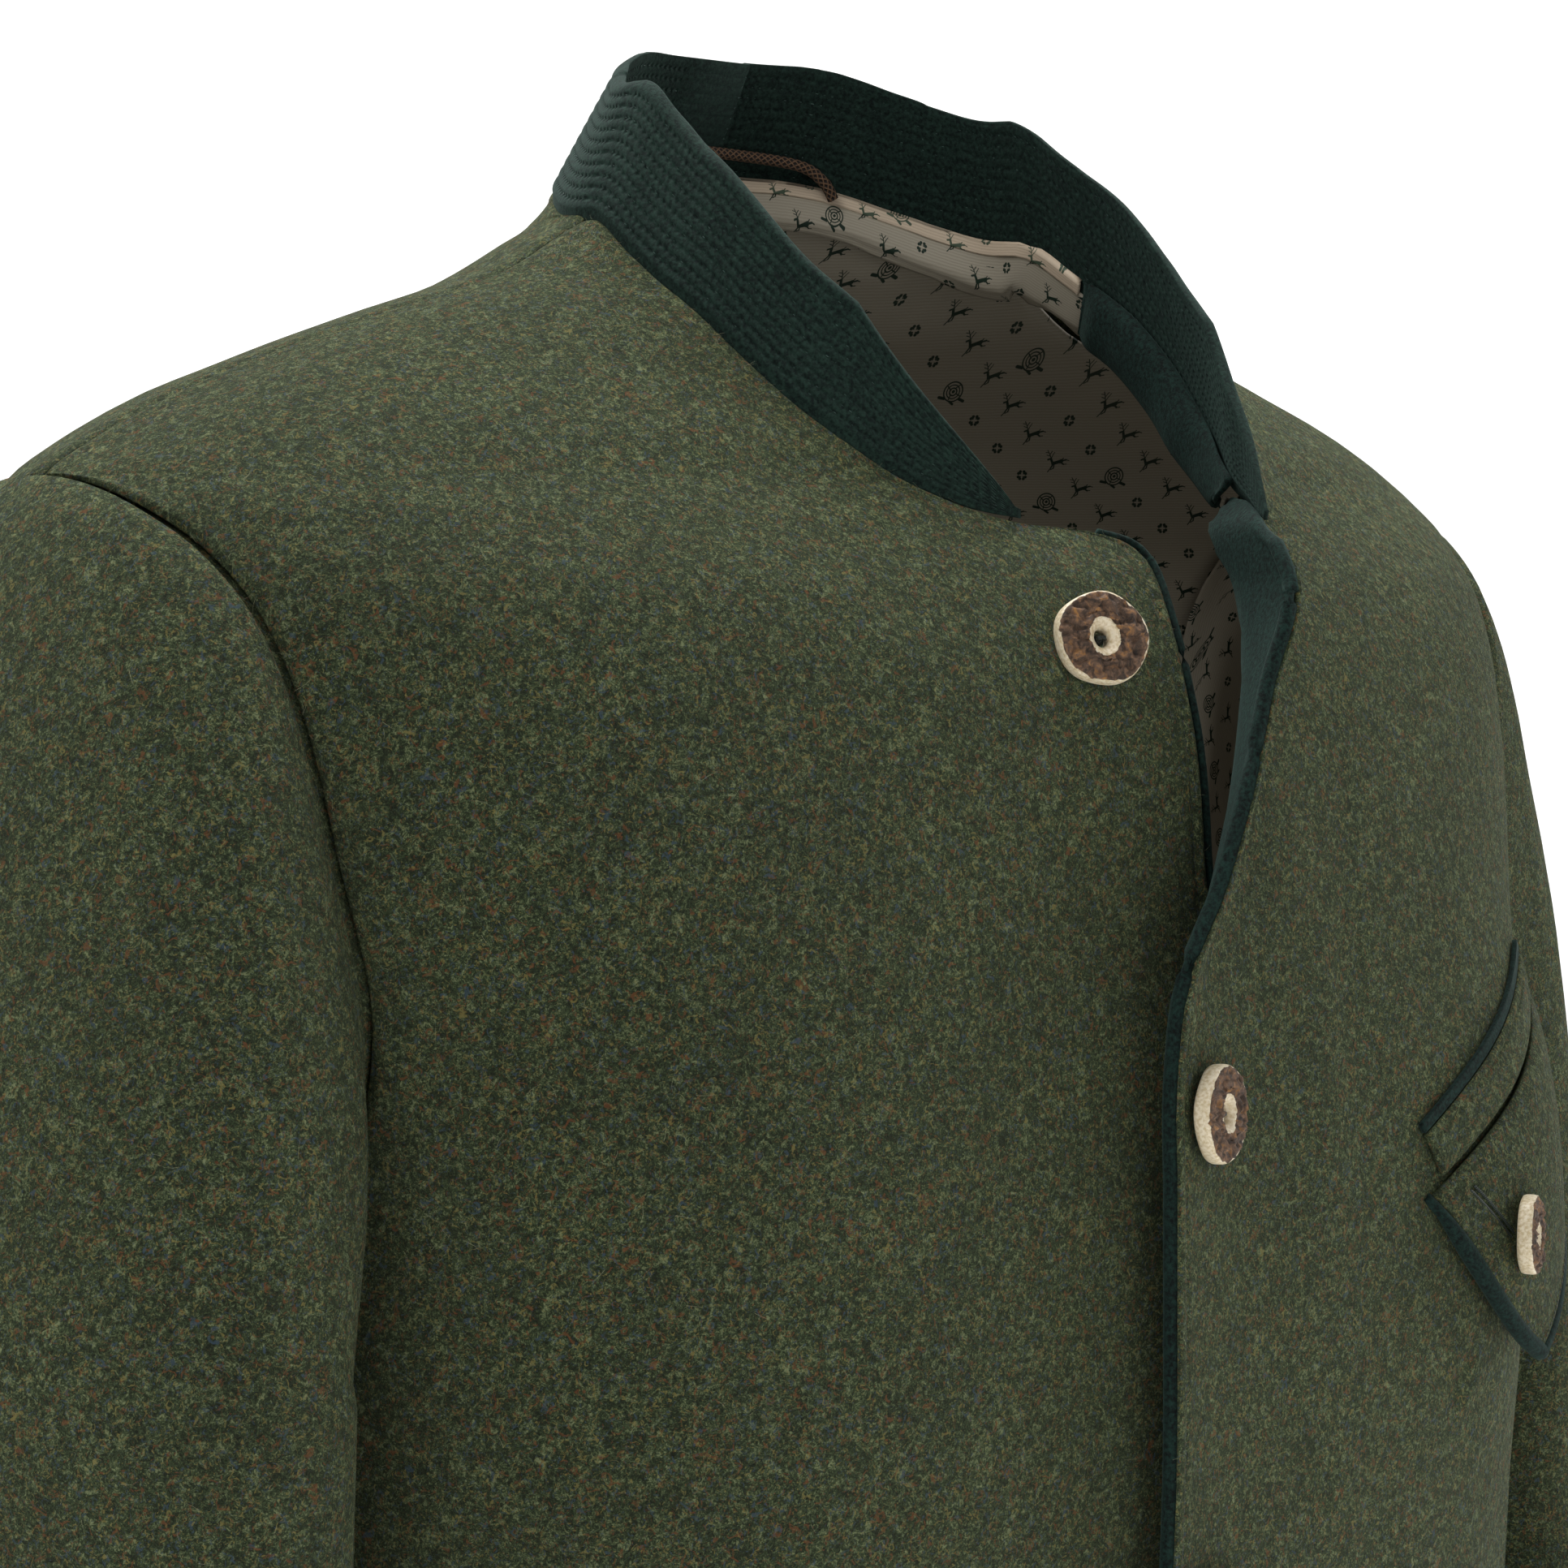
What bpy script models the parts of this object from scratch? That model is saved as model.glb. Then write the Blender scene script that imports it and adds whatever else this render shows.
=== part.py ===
"""Tyrolean loden jacket: a men's stand-collar Janker, worn open at the neck, as a hollow form.

World axes: +Z up, the front faces -Y, the wearer's left is +X. The origin is in the middle
of the neck hole, level with the tops of the shoulders, where a wearer's neck holds it up.
Tables and dimensions are in millimetres, and each mesh is made in metres.
"""

import bpy
from math import atan2, cos, exp, pi, radians, sin
from mathutils import Vector

COLLECTION = "tyrolean_loden_jacket"
MM = 0.001

# Cloth thicknesses and the clearance between pieces.
LODEN = 2.2
FELT = 1.3
LINING = 1.0
GAP = 0.35

SEAM_TRIM = 0.2              # each panel stops this short of a seam
EDGE_COLUMN = 2.0            # width of the narrow column beside a seam
ROW_STEPS = 48               # points on the fine line of a front's row; the back has twice as many
FRONT_ROW_BEND = 1.6         # how late a row leaves its level on the way to the seam
BACK_ROW_BEND = 1.8
ARMHOLE_STEPS = 120
FRONT_COLUMNS = 13
BACK_COLUMNS = 21
LINING_COLUMNS = 9
LINING_BACK_COLUMNS = 15
LINING_BIAS = 1.45           # crowds a front lining's columns near the neck and the facing
TRIM_STEPS = 240

# Collar.
COLLAR_HEIGHT = 34.0
COLLAR_WALL = 3.0
COLLAR_RIBS = 11
RIB_RELIEF = 0.55
COLLAR_POINT = 46.0          # length over which each end runs out to its point
COLLAR_SECTIONS = 35
COLLAR_STAND = 1.35          # clearance over the neck seam
COLLAR_END_SHARE = 0.06      # share of the full height at the very end
COLLAR_END_CURVE = 0.8
COLLAR_CROWDING = 0.055      # shifts the sections towards the collar's ends

# Buttons of staghorn.
BUTTON = 23.6
POCKET_BUTTON = 21.0
BUTTON_THICKNESS = 5.0
BUTTON_AROUND = 14
# Profile of a button from the hole round to the hole: shares of its radius and its thickness.
BUTTON_PROFILE = ((0.20, 0.0), (0.92, 0.0), (1.0, 0.22), (0.96, 0.86), (0.84, 1.0), (0.26, 0.94))
BUTTON_PITCH = 122.0
SECOND_BUTTON_HEIGHT = -226.0
BUTTON_COUNT = 5
TOP_BUTTON_HEIGHT = -114.0
TOP_BUTTON_X = -16.5
TOP_BUTTON_LEAN = (-0.30, 0.0, -0.16)    # the unfastened button droops towards the arm
TOP_BUTTON_STAND = 4.0
BUTTON_SEAT = 2.0            # length of the thread under a button
POCKET_BUTTON_SEAT = 0.8
FRONT_BUTTON_X = -5.0
POCKET_BUTTON_SPOT = (0.19, 0.42)

# Facings, lining and neck tape.
FACING_WIDTH = 58.0
PIPING = 1.6                 # felt that shows past the edge of the right front
SLEEVE_LINING_INSET = 9.5
SLEEVE_LINING_START = 7.0    # the same inset at the armhole
FACING_DEPTH = LODEN + GAP + 0.4
LINING_DEPTH = LODEN + GAP + 2.6            # the lining hangs a little free of its panel
LINING_START = FACING_WIDTH + 1.5           # from the front edge to the lining
NECK_MARGIN = 3.0            # the lining stops this short of the neck seam
STRIP_DEPTH = LINING_DEPTH + LINING + 3.0
STRIP_CLEARANCE = 1.1        # from the collar to the strips that cover the neck seam
TAPE_WIDTH = 3.6             # below the neck seam
TAPE_RISE = 1.2              # above it
TAPE_STATIONS = 21
NECK_FACING_RISE = 2.4
HEM = -730.0

# Right and left front panels lap by this much below the open neck.
LAP_DEPTH = 4.6

# Horizontal sections of the body, from the back of the neck to the hem. The front and back
# depths are measured from the seam line of shoulder and side, which lies at seam_y.
BODY_COLUMNS = ("height", "half_width", "front", "back", "front_power", "back_power", "seam_y")
BODY = (
    (12, 71, 26, 60, 2.0, 2.0, 2),
    (2, 73, 28, 68, 2.0, 2.0, 3),
    (-6, 78, 31, 75, 2.0, 2.0, 5),
    (-12, 87, 34, 79, 2.0, 2.0, 7),
    (-22, 104, 43, 86, 2.1, 2.0, 9),
    (-32, 134, 54, 89, 2.1, 2.1, 11),
    (-42.5, 165, 64, 91, 2.15, 2.1, 13),
    (-54, 194, 76, 92, 2.2, 2.2, 15),
    (-64.5, 215, 87, 92, 2.2, 2.2, 16),
    (-74, 229, 95, 92, 2.25, 2.2, 17),
    (-84, 236, 106, 92, 2.3, 2.25, 17),
    (-100, 238, 120, 92, 2.35, 2.3, 16),
    (-125, 234, 131, 93, 2.4, 2.35, 14),
    (-160, 225, 137, 95, 2.5, 2.4, 11),
    (-200, 214, 141, 96, 2.6, 2.45, 9),
    (-245, 209, 145, 95, 2.7, 2.5, 8),
    (-300, 208, 146, 91, 2.7, 2.5, 7),
    (-360, 209, 144, 84, 2.6, 2.4, 6),
    (-430, 207, 142, 80, 2.5, 2.4, 5),
    (-510, 207, 141, 87, 2.45, 2.4, 4),
    (-610, 211, 141, 97, 2.4, 2.4, 3),
    (HEM, 215, 143, 104, 2.4, 2.4, 3),
)
NECK_BACK_TOP = 12.0
SHOULDER_NECK = -6.0
SHOULDER_POINT = -74.0
UNDERARM = -245.0

# Distance of each armhole from the middle of the body, on the front and on the back.
ARMHOLE_COLUMNS = ("height", "front", "back")
ARMHOLE = (
    (SHOULDER_POINT, 229, 229),
    (-82, 225, 226.5),
    (-90, 220, 223),
    (-114, 212, 214),
    (-160, 204, 204),
    (-200, 197, 198),
    (-214, 197.5, 198.5),
    (-226, 200, 200.5),
    (-234, 204, 204),
    (-240, 207, 207),
    (-243.6, 208.6, 208.6),
    (UNDERARM, 209, 209),
)

# Neckline at the back: distance from the middle.
BACK_NECK_COLUMNS = ("height", "reach")
BACK_NECK = ((NECK_BACK_TOP, 10), (11.5, 30), (9, 46), (4, 60), (-1, 70), (SHOULDER_NECK, 78))

# Front borders: neckline down to the collar's end, then the top corner and the front edge.
# On the right front, x is negative towards the armhole, and the border hugs the body.
RIGHT_BORDER_COLUMNS = ("height", "x")
RIGHT_BORDER = (
    (SHOULDER_NECK, -78), (-12, -78.5), (-22, -77.5), (-34, -74), (-46, -69), (-58, -62),
    (-68, -52), (-77, -38), (-84, -17), (-86, 7), (-88.5, 17), (-92, 20), (-100, 18.5),
    (-112, 16), (-125, 14), (-164, 13), (-200, 18), (-245, 23), (HEM, 24),
)
# The left front stands open at the neck: its border is thrown forward by lift, which
# fades out over the roll width.
LEFT_BORDER_COLUMNS = ("height", "x", "lift", "roll")
LEFT_BORDER = (
    (SHOULDER_NECK, 78, 0, 60), (-12, 79, 2, 64), (-22, 79, 5, 66), (-34, 77, 8, 68),
    (-46, 75, 10, 68), (-58, 71, 11, 68), (-68, 64, 14, 66), (-77, 54, 20, 64),
    (-84, 42, 27, 64), (-86, 39, 30, 64), (-89, 37, 33, 64), (-100, 34, 31, 62), (-125, 24, 20, 58),
    (-156, 10, 16, 54), (-175, 0, 14, 50), (-189, -10, 13, 48), (-203, -16, 12, 46),
    (-230, -20, 10.5, 44), (-290, -21, 9, 44), (-400, -21, 7, 44), (HEM, -22, 6, 44),
)
COLLAR_END = -84.0

# The chest pocket on the left front, in millimetres across and up.
SLIT_INNER = (84.0, -240.0)
SLIT_OUTER = (158.0, -199.0)
WELT_WIDTH = 13.0
LIP_WIDTH = 3.0
BAND_COLUMNS = 9
# Corners of the flap along the slit and below it: top inner, tip, lower outer, top outer.
FLAP_CORNERS = ((-5.5, 14.8), (7.0, 81.0), (66.0, 66.5), (92.0, 14.8))
FLAP_TIP_ROUNDING = 0.14
FLAP_EDGE = 1.1              # felt that shows past the flap's edge
FLAP_WIDTH = 75.0
FLAP_DROP = 60.0
FLAP_ROWS = 7
FLAP_COLUMNS = 9
FLAP_STAND = 6.0             # how far the flap's lower edge stands off the front
POCKET_CENTRE = (138.0, -250.0)
POCKET_REACH = (46.0, 58.0)
POCKET_BULGE = 9.0

# Soft vertical folds: centre across, half width, depth, top and bottom. Negative is a trough.
FRONT_FOLDS = (
    (66, 20, -1.4, -300, -700),
    (118, 16, 2.2, -330, -760),
    (46, 14, 1.6, -150, -290),
    (-104, 12, -1.5, -290, -640),
    (-60, 22, 1.6, -420, -760),
    (-146, 20, 2.4, -330, -760),
)
BACK_FOLDS = (
    (-92, 24, 3.0, -280, -760),
    (84, 26, 3.2, -300, -760),
    (8, 18, -1.5, -330, -700),
    (-150, 20, -1.5, -150, -420),
    (148, 22, -1.5, -160, -440),
)

# Centre line and half widths of a sleeve, from below the armhole to the cuff.
SLEEVE_COLUMNS = ("height", "x", "y", "half_width", "half_depth")
SLEEVE = (
    (-280, 255, -8, 39, 73.5),
    (-305, 256, -9, 39, 73),
    (-380, 259, -13, 39, 69),
    (-460, 263, -21, 39, 65),
    (-540, 267, -33, 38, 60),
    (-620, 272, -49, 37, 55),
    (-692, 276, -63, 36, 52),
)
HEAD_SWELL = 8.0             # the front of a sleeve head swells forward
SLEEVE_STAND = 1.0           # clearance between a sleeve head and the panels
SLEEVE_TURN = 20.0           # degrees that the flattened section turns its front inwards
SLEEVE_TILT = 0.16           # the cuff's plane drops towards the back of the hand
# The right arm hangs closer in and further forward: shift out and shift back of each arm.
ARM_SET = {-1: (-4.0, -17.0), 1: (0.0, 14.0)}
SLEEVE_FOLDS = ((-402, 3.0), (-436, -2.6), (-468, 3.4), (-502, -2.4), (-560, 1.8))
AROUND = 21
CAP_STEPS = 5                # rings of a sleeve's cap
ARM_STEPS = 11               # rings below it
SLEEVE_FOLD_REACH = 22.0

# Hanging loop: places along the neck seam, rise over it and clearance from the collar.
LOOP_DIAMETER = 3.2
LOOP_ROUTE = (
    (2.37, -1.5, 5.4), (2.31, 2.6, 4.6), (2.2, 5.4, 3.8), (2.06, 6.5, 3.4), (1.94, 6.5, 3.4),
    (1.8, 5.4, 3.8), (1.69, 2.6, 4.6), (1.63, -1.5, 5.4),
)

COLOURS = {
    "loden": (0.052, 0.062, 0.034),
    "felt": (0.012, 0.026, 0.021),
    "lining": (0.21, 0.19, 0.14),
    "tape": (0.55, 0.45, 0.34),
    "staghorn": (0.32, 0.21, 0.13),
    "cord": (0.16, 0.10, 0.06),
}


# ---------------------------------------------------------------- tables and curves

def column(table, columns, name):
    """A smooth function of the first column that passes through the named column."""
    index = columns.index(name)
    rows = sorted((row[0], row[index]) for row in table)
    keys = [row[0] for row in rows]
    values = [row[1] for row in rows]
    slopes = [(values[i + 1] - values[i]) / (keys[i + 1] - keys[i]) for i in range(len(rows) - 1)]

    def tangent(i):
        if i == 0:
            return slopes[0]
        if i == len(rows) - 1:
            return slopes[-1]
        before, after = slopes[i - 1], slopes[i]
        if before * after <= 0:
            return 0.0
        return 2 * before * after / (before + after)

    def value(key):
        if key <= keys[0]:
            return values[0]
        if key >= keys[-1]:
            return values[-1]
        i = max(k for k in range(len(keys) - 1) if keys[k] <= key)
        span = keys[i + 1] - keys[i]
        t = (key - keys[i]) / span
        start, end = tangent(i) * span, tangent(i + 1) * span
        return (values[i] * (2 * t**3 - 3 * t**2 + 1) + start * (t**3 - 2 * t**2 + t)
                + values[i + 1] * (3 * t**2 - 2 * t**3) + end * (t**3 - t**2))

    return value


def columns_of(table, columns):
    return {name: column(table, columns, name) for name in columns[1:]}


def smooth(t):
    t = min(1.0, max(0.0, t))
    return t * t * (3 - 2 * t)


def bump(distance, half_width):
    """One soft wave, 1 in the middle and 0 past the half width."""
    t = abs(distance) / half_width
    return 0.0 if t >= 1 else 0.5 + 0.5 * cos(pi * t)


def at_shares(points, shares):
    """Points at rising shares of a polyline's length."""
    lengths = [0.0]
    for a, b in zip(points, points[1:]):
        lengths.append(lengths[-1] + (b - a).length)
    result = []
    i = 0
    for share in shares:
        target = lengths[-1] * share
        while i < len(points) - 2 and lengths[i + 1] < target:
            i += 1
        span = lengths[i + 1] - lengths[i]
        t = 0.0 if span == 0 else (target - lengths[i]) / span
        result.append(points[i].lerp(points[i + 1], min(1.0, t)))
    return result


def resample(points, count, bias=1.0):
    """Count points at even steps along a polyline, bunched at its start by a bias over 1."""
    return at_shares(points, [(k / (count - 1)) ** bias for k in range(count)])


# ---------------------------------------------------------------- the body's surface

BODY_AT = columns_of(BODY, BODY_COLUMNS)
ARM_AT = columns_of(ARMHOLE, ARMHOLE_COLUMNS)
NECK_BACK_AT = columns_of(BACK_NECK, BACK_NECK_COLUMNS)
RIGHT_AT = columns_of(RIGHT_BORDER, RIGHT_BORDER_COLUMNS)
LEFT_AT = columns_of(LEFT_BORDER, LEFT_BORDER_COLUMNS)


def section(height, angle):
    """Point of the body's section; the angle is 0 at the front, 90 degrees at the left side."""
    width = BODY_AT["half_width"](height)
    is_front = cos(angle) > 0
    depth = BODY_AT["front" if is_front else "back"](height)
    power = BODY_AT["front_power" if is_front else "back_power"](height)
    across, along = abs(sin(angle)), abs(cos(angle))
    radius = ((across / width) ** power + (along / depth) ** power) ** (-1 / power)
    return Vector((radius * sin(angle), BODY_AT["seam_y"](height) - radius * cos(angle), height))


def angle_at(height, x, side):
    """Angle at which a front (side 1) or back (side -1) section is x from the middle."""
    width = BODY_AT["half_width"](height)
    depth = BODY_AT["front" if side > 0 else "back"](height)
    power = BODY_AT["front_power" if side > 0 else "back_power"](height)
    share = min(1.0, abs(x) / width)
    along = depth * (1 - share ** power) ** (1 / power)
    return atan2(x, along * side)


def fold_depth(folds, x, height):
    total = 0.0
    for centre, half_width, depth, top, bottom in folds:
        ends = smooth((top - height) / 60) * smooth((height - bottom) / 60)
        total += depth * bump(x - centre, half_width) * ends
    return total


def pocket_bulge(x, height):
    across = (x - POCKET_CENTRE[0]) / POCKET_REACH[0]
    along = (height - POCKET_CENTRE[1]) / POCKET_REACH[1]
    return POCKET_BULGE * exp(-across * across - along * along)


def front_point(side, height, angle):
    """Outer surface of the left (side 1) or right (side -1) front."""
    point = section(height, angle)
    outward = fold_depth(FRONT_FOLDS, point.x, height)
    if side > 0:
        outward += pocket_bulge(point.x, height)
        reach = (point.x - LEFT_AT["x"](height)) / LEFT_AT["roll"](height)
        outward += LEFT_AT["lift"](height) * max(0.0, 1 - max(0.0, reach)) ** 2
    else:
        lapped = smooth((-130 - height) / 60) * smooth((point.x + 95) / 70)
        outward -= LAP_DEPTH * lapped
    return point + Vector((0.3 * sin(angle), -1, 0)) * outward


def back_point(height, angle):
    """Outer surface of the back."""
    point = section(height, angle)
    point.y += fold_depth(BACK_FOLDS, point.x, height)
    return point


def inside(surface, height, angle, depth):
    """Point at a depth under a surface; a negative depth stands outside it."""
    point = surface(height, angle)
    if depth == 0:
        return point
    across = surface(height, angle + 0.004) - surface(height, angle - 0.004)
    along = surface(height + 0.4, angle) - surface(height - 0.4, angle)
    normal = across.cross(along).normalized()
    return point - normal * depth


def front_surface(side):
    return lambda height, angle: front_point(side, height, angle)


# Heights of the panels' rows at their inner ends (front edge or middle of the back); their
# outer ends follow the shoulder seam, then the armhole, then the side seam.
# Shares along the armhole give the outer ends of the rows beside it.
SHOULDER_ROWS = (
    (-8, -8), (-11.5, -11.5), (-17, -17), (-25, -25), (-35, -35), (-45, -45), (-55, -55),
    (-64, -65), (-72.5, SHOULDER_POINT),
)
FRONT_ARM_ROWS = (-79.5, COLLAR_END, -86, -90, -101, -118, -138, -160, -182, -205, -232, -260)
FRONT_ARM_SHARES = (0.045, 0.10, 0.165, 0.24, 0.32, 0.40, 0.49, 0.58, 0.68, 0.78, 0.89, 1.0)
BACK_ARM_ROWS = (-92, -106, -122, -140, -160, -184, -210, -236, -260)
BACK_ARM_SHARES = (0.055, 0.125, 0.21, 0.31, 0.42, 0.545, 0.68, 0.84, 1.0)
BACK_TOP_ROWS = (11.5, 9, 5.2, 1, -4)
LOWER_ROWS = (-292, -332, -376, -426, -480, -540, -605, -670, HEM)
ARMHOLE_SETBACK = 15.0       # the side seam's rows start this much above their inner ends


def armhole_heights(face):
    """Heights of the chosen points along the front (1) or back (-1) of an armhole."""
    name = "front" if face > 0 else "back"
    shares = FRONT_ARM_SHARES if face > 0 else BACK_ARM_SHARES
    line = []
    for k in range(ARMHOLE_STEPS + 1):
        height = SHOULDER_POINT + (UNDERARM - SHOULDER_POINT) * (1 - cos(pi * k / ARMHOLE_STEPS)) / 2
        line.append(section(height, angle_at(height, ARM_AT[name](height), face)))
    return [point.z for point in at_shares(line, shares)]


def lower_outer(height):
    """Outer height of a row below the armhole: it is level again well above the hem."""
    return height + ARMHOLE_SETBACK * smooth((height + 420) / 160)


def row_heights(face):
    arm_rows = FRONT_ARM_ROWS if face > 0 else BACK_ARM_ROWS
    pairs = list(SHOULDER_ROWS)
    pairs += list(zip(arm_rows, armhole_heights(face)))
    pairs += [(height, lower_outer(height)) for height in LOWER_ROWS]
    if face < 0:
        pairs = [(height, height) for height in BACK_TOP_ROWS] + pairs
    return pairs


def outer_angle(face, height):
    if height > SHOULDER_NECK and face < 0:
        return angle_at(height, NECK_BACK_AT["reach"](height), -1)
    if SHOULDER_POINT >= height > UNDERARM + 0.5:
        name = "front" if face > 0 else "back"
        return angle_at(height, ARM_AT[name](height), face)
    return pi / 2


def front_line(side, inner_height, outer_height, depth=0.0):
    """One row of a front, from its inner border out to the shoulder, armhole or side."""
    border = LEFT_AT["x"](inner_height) if side > 0 else RIGHT_AT["x"](inner_height)
    inner = angle_at(inner_height, border, 1)
    outer = side * outer_angle(1, outer_height)
    surface = front_surface(side)
    line = []
    for k in range(ROW_STEPS + 1):
        t = k / ROW_STEPS
        height = inner_height + (outer_height - inner_height) * t ** FRONT_ROW_BEND
        line.append(inside(surface, height, inner + (outer - inner) * t, depth))
    return line


def back_line(inner_height, outer_height, depth=0.0):
    """One row of the back, from the wearer's right to the left."""
    end = outer_angle(-1, outer_height)
    start, stop = 2 * pi - end, end
    line = []
    for k in range(2 * ROW_STEPS + 1):
        t = k / (2 * ROW_STEPS)
        height = inner_height + (outer_height - inner_height) * abs(2 * t - 1) ** BACK_ROW_BEND
        line.append(inside(back_point, height, start + (stop - start) * t, depth))
    return line


# ---------------------------------------------------------------- grids and meshes

def link(name, data, material, collection):
    obj = bpy.data.objects.new(name, data)
    data.materials.append(material)
    collection.objects.link(obj)
    return obj


def grid_mesh(name, grid, closed_across=False):
    """Quads over a grid of points in millimetres."""
    rows, cols = len(grid), len(grid[0])
    vertices = [tuple(p * MM) for row in grid for p in row]
    faces = []
    last = cols if closed_across else cols - 1
    for r in range(rows - 1):
        for c in range(last):
            right = (c + 1) % cols
            faces.append((r * cols + c, (r + 1) * cols + c, (r + 1) * cols + right, r * cols + right))
    mesh = bpy.data.meshes.new(name)
    mesh.from_pydata(vertices, [], faces)
    mesh.shade_smooth()
    return mesh


def cloth(name, grid, thickness, material, collection, flip=False, closed_across=False):
    """A cloth wall: an open surface whose thickness goes inwards."""
    if flip:
        grid = [list(reversed(row)) for row in grid]
    obj = link(name, grid_mesh(name, grid, closed_across), material, collection)
    wall = obj.modifiers.new("wall", "SOLIDIFY")
    wall.thickness = thickness * MM
    wall.offset = -1
    wall.use_even_offset = False
    return obj


# ---------------------------------------------------------------- fronts, back and linings

def length_of(line):
    return sum((b - a).length for a, b in zip(line, line[1:]))


def front_grid(side, count=FRONT_COLUMNS):
    """Rows of a front; a narrow last column keeps the wall's edge square at the seams."""
    grid = []
    for inner, outer in row_heights(1):
        line = front_line(side, inner, outer)
        total = length_of(line)
        body = (total - SEAM_TRIM - EDGE_COLUMN) / total
        shares = [body * (k / (count - 2)) ** 1.1 for k in range(count - 1)]
        grid.append(at_shares(line, shares + [1 - SEAM_TRIM / total]))
    return grid


def back_grid(count=BACK_COLUMNS):
    """Rows of the back, with a narrow column at both ends."""
    grid = []
    for inner, outer in row_heights(-1):
        line = back_line(inner, outer)
        total = length_of(line)
        first, edge = SEAM_TRIM / total, (SEAM_TRIM + EDGE_COLUMN) / total
        shares = [edge + (1 - 2 * edge) * k / (count - 3) for k in range(count - 2)]
        grid.append(at_shares(line, [first] + shares + [1 - first]))
    return grid


def trimmed(line, start, end):
    """The part of a fine line between two distances from its ends."""
    total = length_of(line)
    kept = total - start - end
    return at_shares(line, [(start + kept * k / TRIM_STEPS) / total for k in range(TRIM_STEPS + 1)])


def facing_grid(side):
    """The felt facing behind a front edge, from the top corner to the hem."""
    grid = []
    for inner, outer in row_heights(1):
        if inner > COLLAR_END - 1:
            continue
        line = front_line(side, inner, outer, FACING_DEPTH)
        total = length_of(line)
        kept = trimmed(line, 0.0, total - FACING_WIDTH)
        edge = kept[0] + (kept[0] - kept[1]).normalized() * PIPING
        grid.append(resample([edge] + kept, 5))
    return grid


def lining_front_grid(side):
    """Lining of a front: up to the neck seam, and beside the facing below the collar's end."""
    upper = [pair for pair in row_heights(1) if -8 > pair[0] > COLLAR_END + 6]
    lower = [pair for pair in row_heights(1) if COLLAR_END - 1 > pair[0] > HEM + 20]
    ramp = (lower[1][1] - SHOULDER_POINT) / 5
    rows = [(pair, NECK_MARGIN) for pair in upper]
    for k, start in enumerate((NECK_MARGIN, 0.3 * FACING_WIDTH, 0.67 * FACING_WIDTH, LINING_START)):
        rows.append(((COLLAR_END + 4.5 - 1.6 * k, SHOULDER_POINT + ramp * (k + 1)), start))
    rows += [(pair, LINING_START) for pair in lower[1:-6:2] + lower[-6:]]
    grid = []
    for (inner, outer), start in rows:
        line = front_line(side, inner, outer, LINING_DEPTH)
        grid.append(resample(trimmed(line, start, 1.0), LINING_COLUMNS, LINING_BIAS))
    return grid


def lining_back_grid():
    rows = [pair for pair in row_heights(-1) if 8 > pair[0] > HEM + 16]
    kept = rows[:8] + rows[8:21:2] + rows[21:]
    grid = []
    for inner, outer in kept:
        margin = NECK_MARGIN if inner > SHOULDER_NECK else 1.0
        line = trimmed(back_line(inner, outer, LINING_DEPTH), margin, margin)
        grid.append(resample(line, LINING_BACK_COLUMNS))
    return grid


# ---------------------------------------------------------------- collar

def neck_station(u):
    """Surface, height and angle on the neck seam: 0 right end, 2 middle of the back, 4 left end."""
    side = -1 if u <= 2 else 1
    t = u if u <= 2 else 4 - u
    if t <= 1:
        height = COLLAR_END + (SHOULDER_NECK - COLLAR_END) * t
        border = RIGHT_AT["x"](height) if side < 0 else LEFT_AT["x"](height)
        return front_surface(side), height, angle_at(height, border, 1)
    height = SHOULDER_NECK + (NECK_BACK_TOP - SHOULDER_NECK) * sin(pi / 2 * (t - 1))
    return back_point, height, side * angle_at(height, NECK_BACK_AT["reach"](height), -1)


def neck_point(u):
    surface, height, angle = neck_station(min(4.0, max(0.0, u)))
    return surface(height, angle)


def neck_inward(u):
    """Horizontal direction from the neck seam towards the neck."""
    tangent = neck_point(u + 0.12) - neck_point(u - 0.12)
    return Vector((tangent.y, -tangent.x, 0)).normalized()


def neck_upward(u):
    """Direction square to the neck seam and to its inward direction."""
    tangent = (neck_point(u + 0.05) - neck_point(u - 0.05)).normalized()
    upward = tangent.cross(neck_inward(u)).normalized()
    return upward if upward.z > 0 else -upward


# Lean of the collar's top edge, by share of the neck seam from the right end to the left.
LEAN_COLUMNS = ("share", "inward", "forward", "rise")
LEAN = (
    (0.00, 2, 0, 0.98),
    (0.08, 5, 0, 1.00),
    (0.18, 9, 1, 1.00),
    (0.28, 13, 2, 0.97),
    (0.38, 15, 3, 0.87),
    (0.46, 13, 4, 0.855),
    (0.56, 10, 4, 0.91),
    (0.66, 8, 2, 0.96),
    (0.78, 8, 0, 0.98),
    (0.88, 7, 0, 0.98),
    (0.95, 3, 1, 0.98),
    (1.00, 0, 2, 0.98),
)
LEAN_AT = columns_of(LEAN, LEAN_COLUMNS)


NECK_STEPS = 400
NECK_LINE = [neck_point(4 * k / NECK_STEPS) for k in range(NECK_STEPS + 1)]
NECK_LENGTHS = [0.0]
for start, stop in zip(NECK_LINE, NECK_LINE[1:]):
    NECK_LENGTHS.append(NECK_LENGTHS[-1] + (stop - start).length)


def collar_frame(u):
    """Foot point, inward direction, offset of the top edge and share of the full height."""
    length = NECK_LENGTHS[round(NECK_STEPS * u / 4)]
    share = length / NECK_LENGTHS[-1]
    inward = neck_inward(u)
    end = min(length, NECK_LENGTHS[-1] - length)
    full = min(1.0, max(COLLAR_END_SHARE, (end / COLLAR_POINT) ** COLLAR_END_CURVE))
    up = Vector((0, -LEAN_AT["forward"](share), COLLAR_HEIGHT * LEAN_AT["rise"](share)))
    up += inward * LEAN_AT["inward"](share)
    return neck_point(u) + neck_upward(u) * COLLAR_STAND, inward, up * full, full


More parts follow.
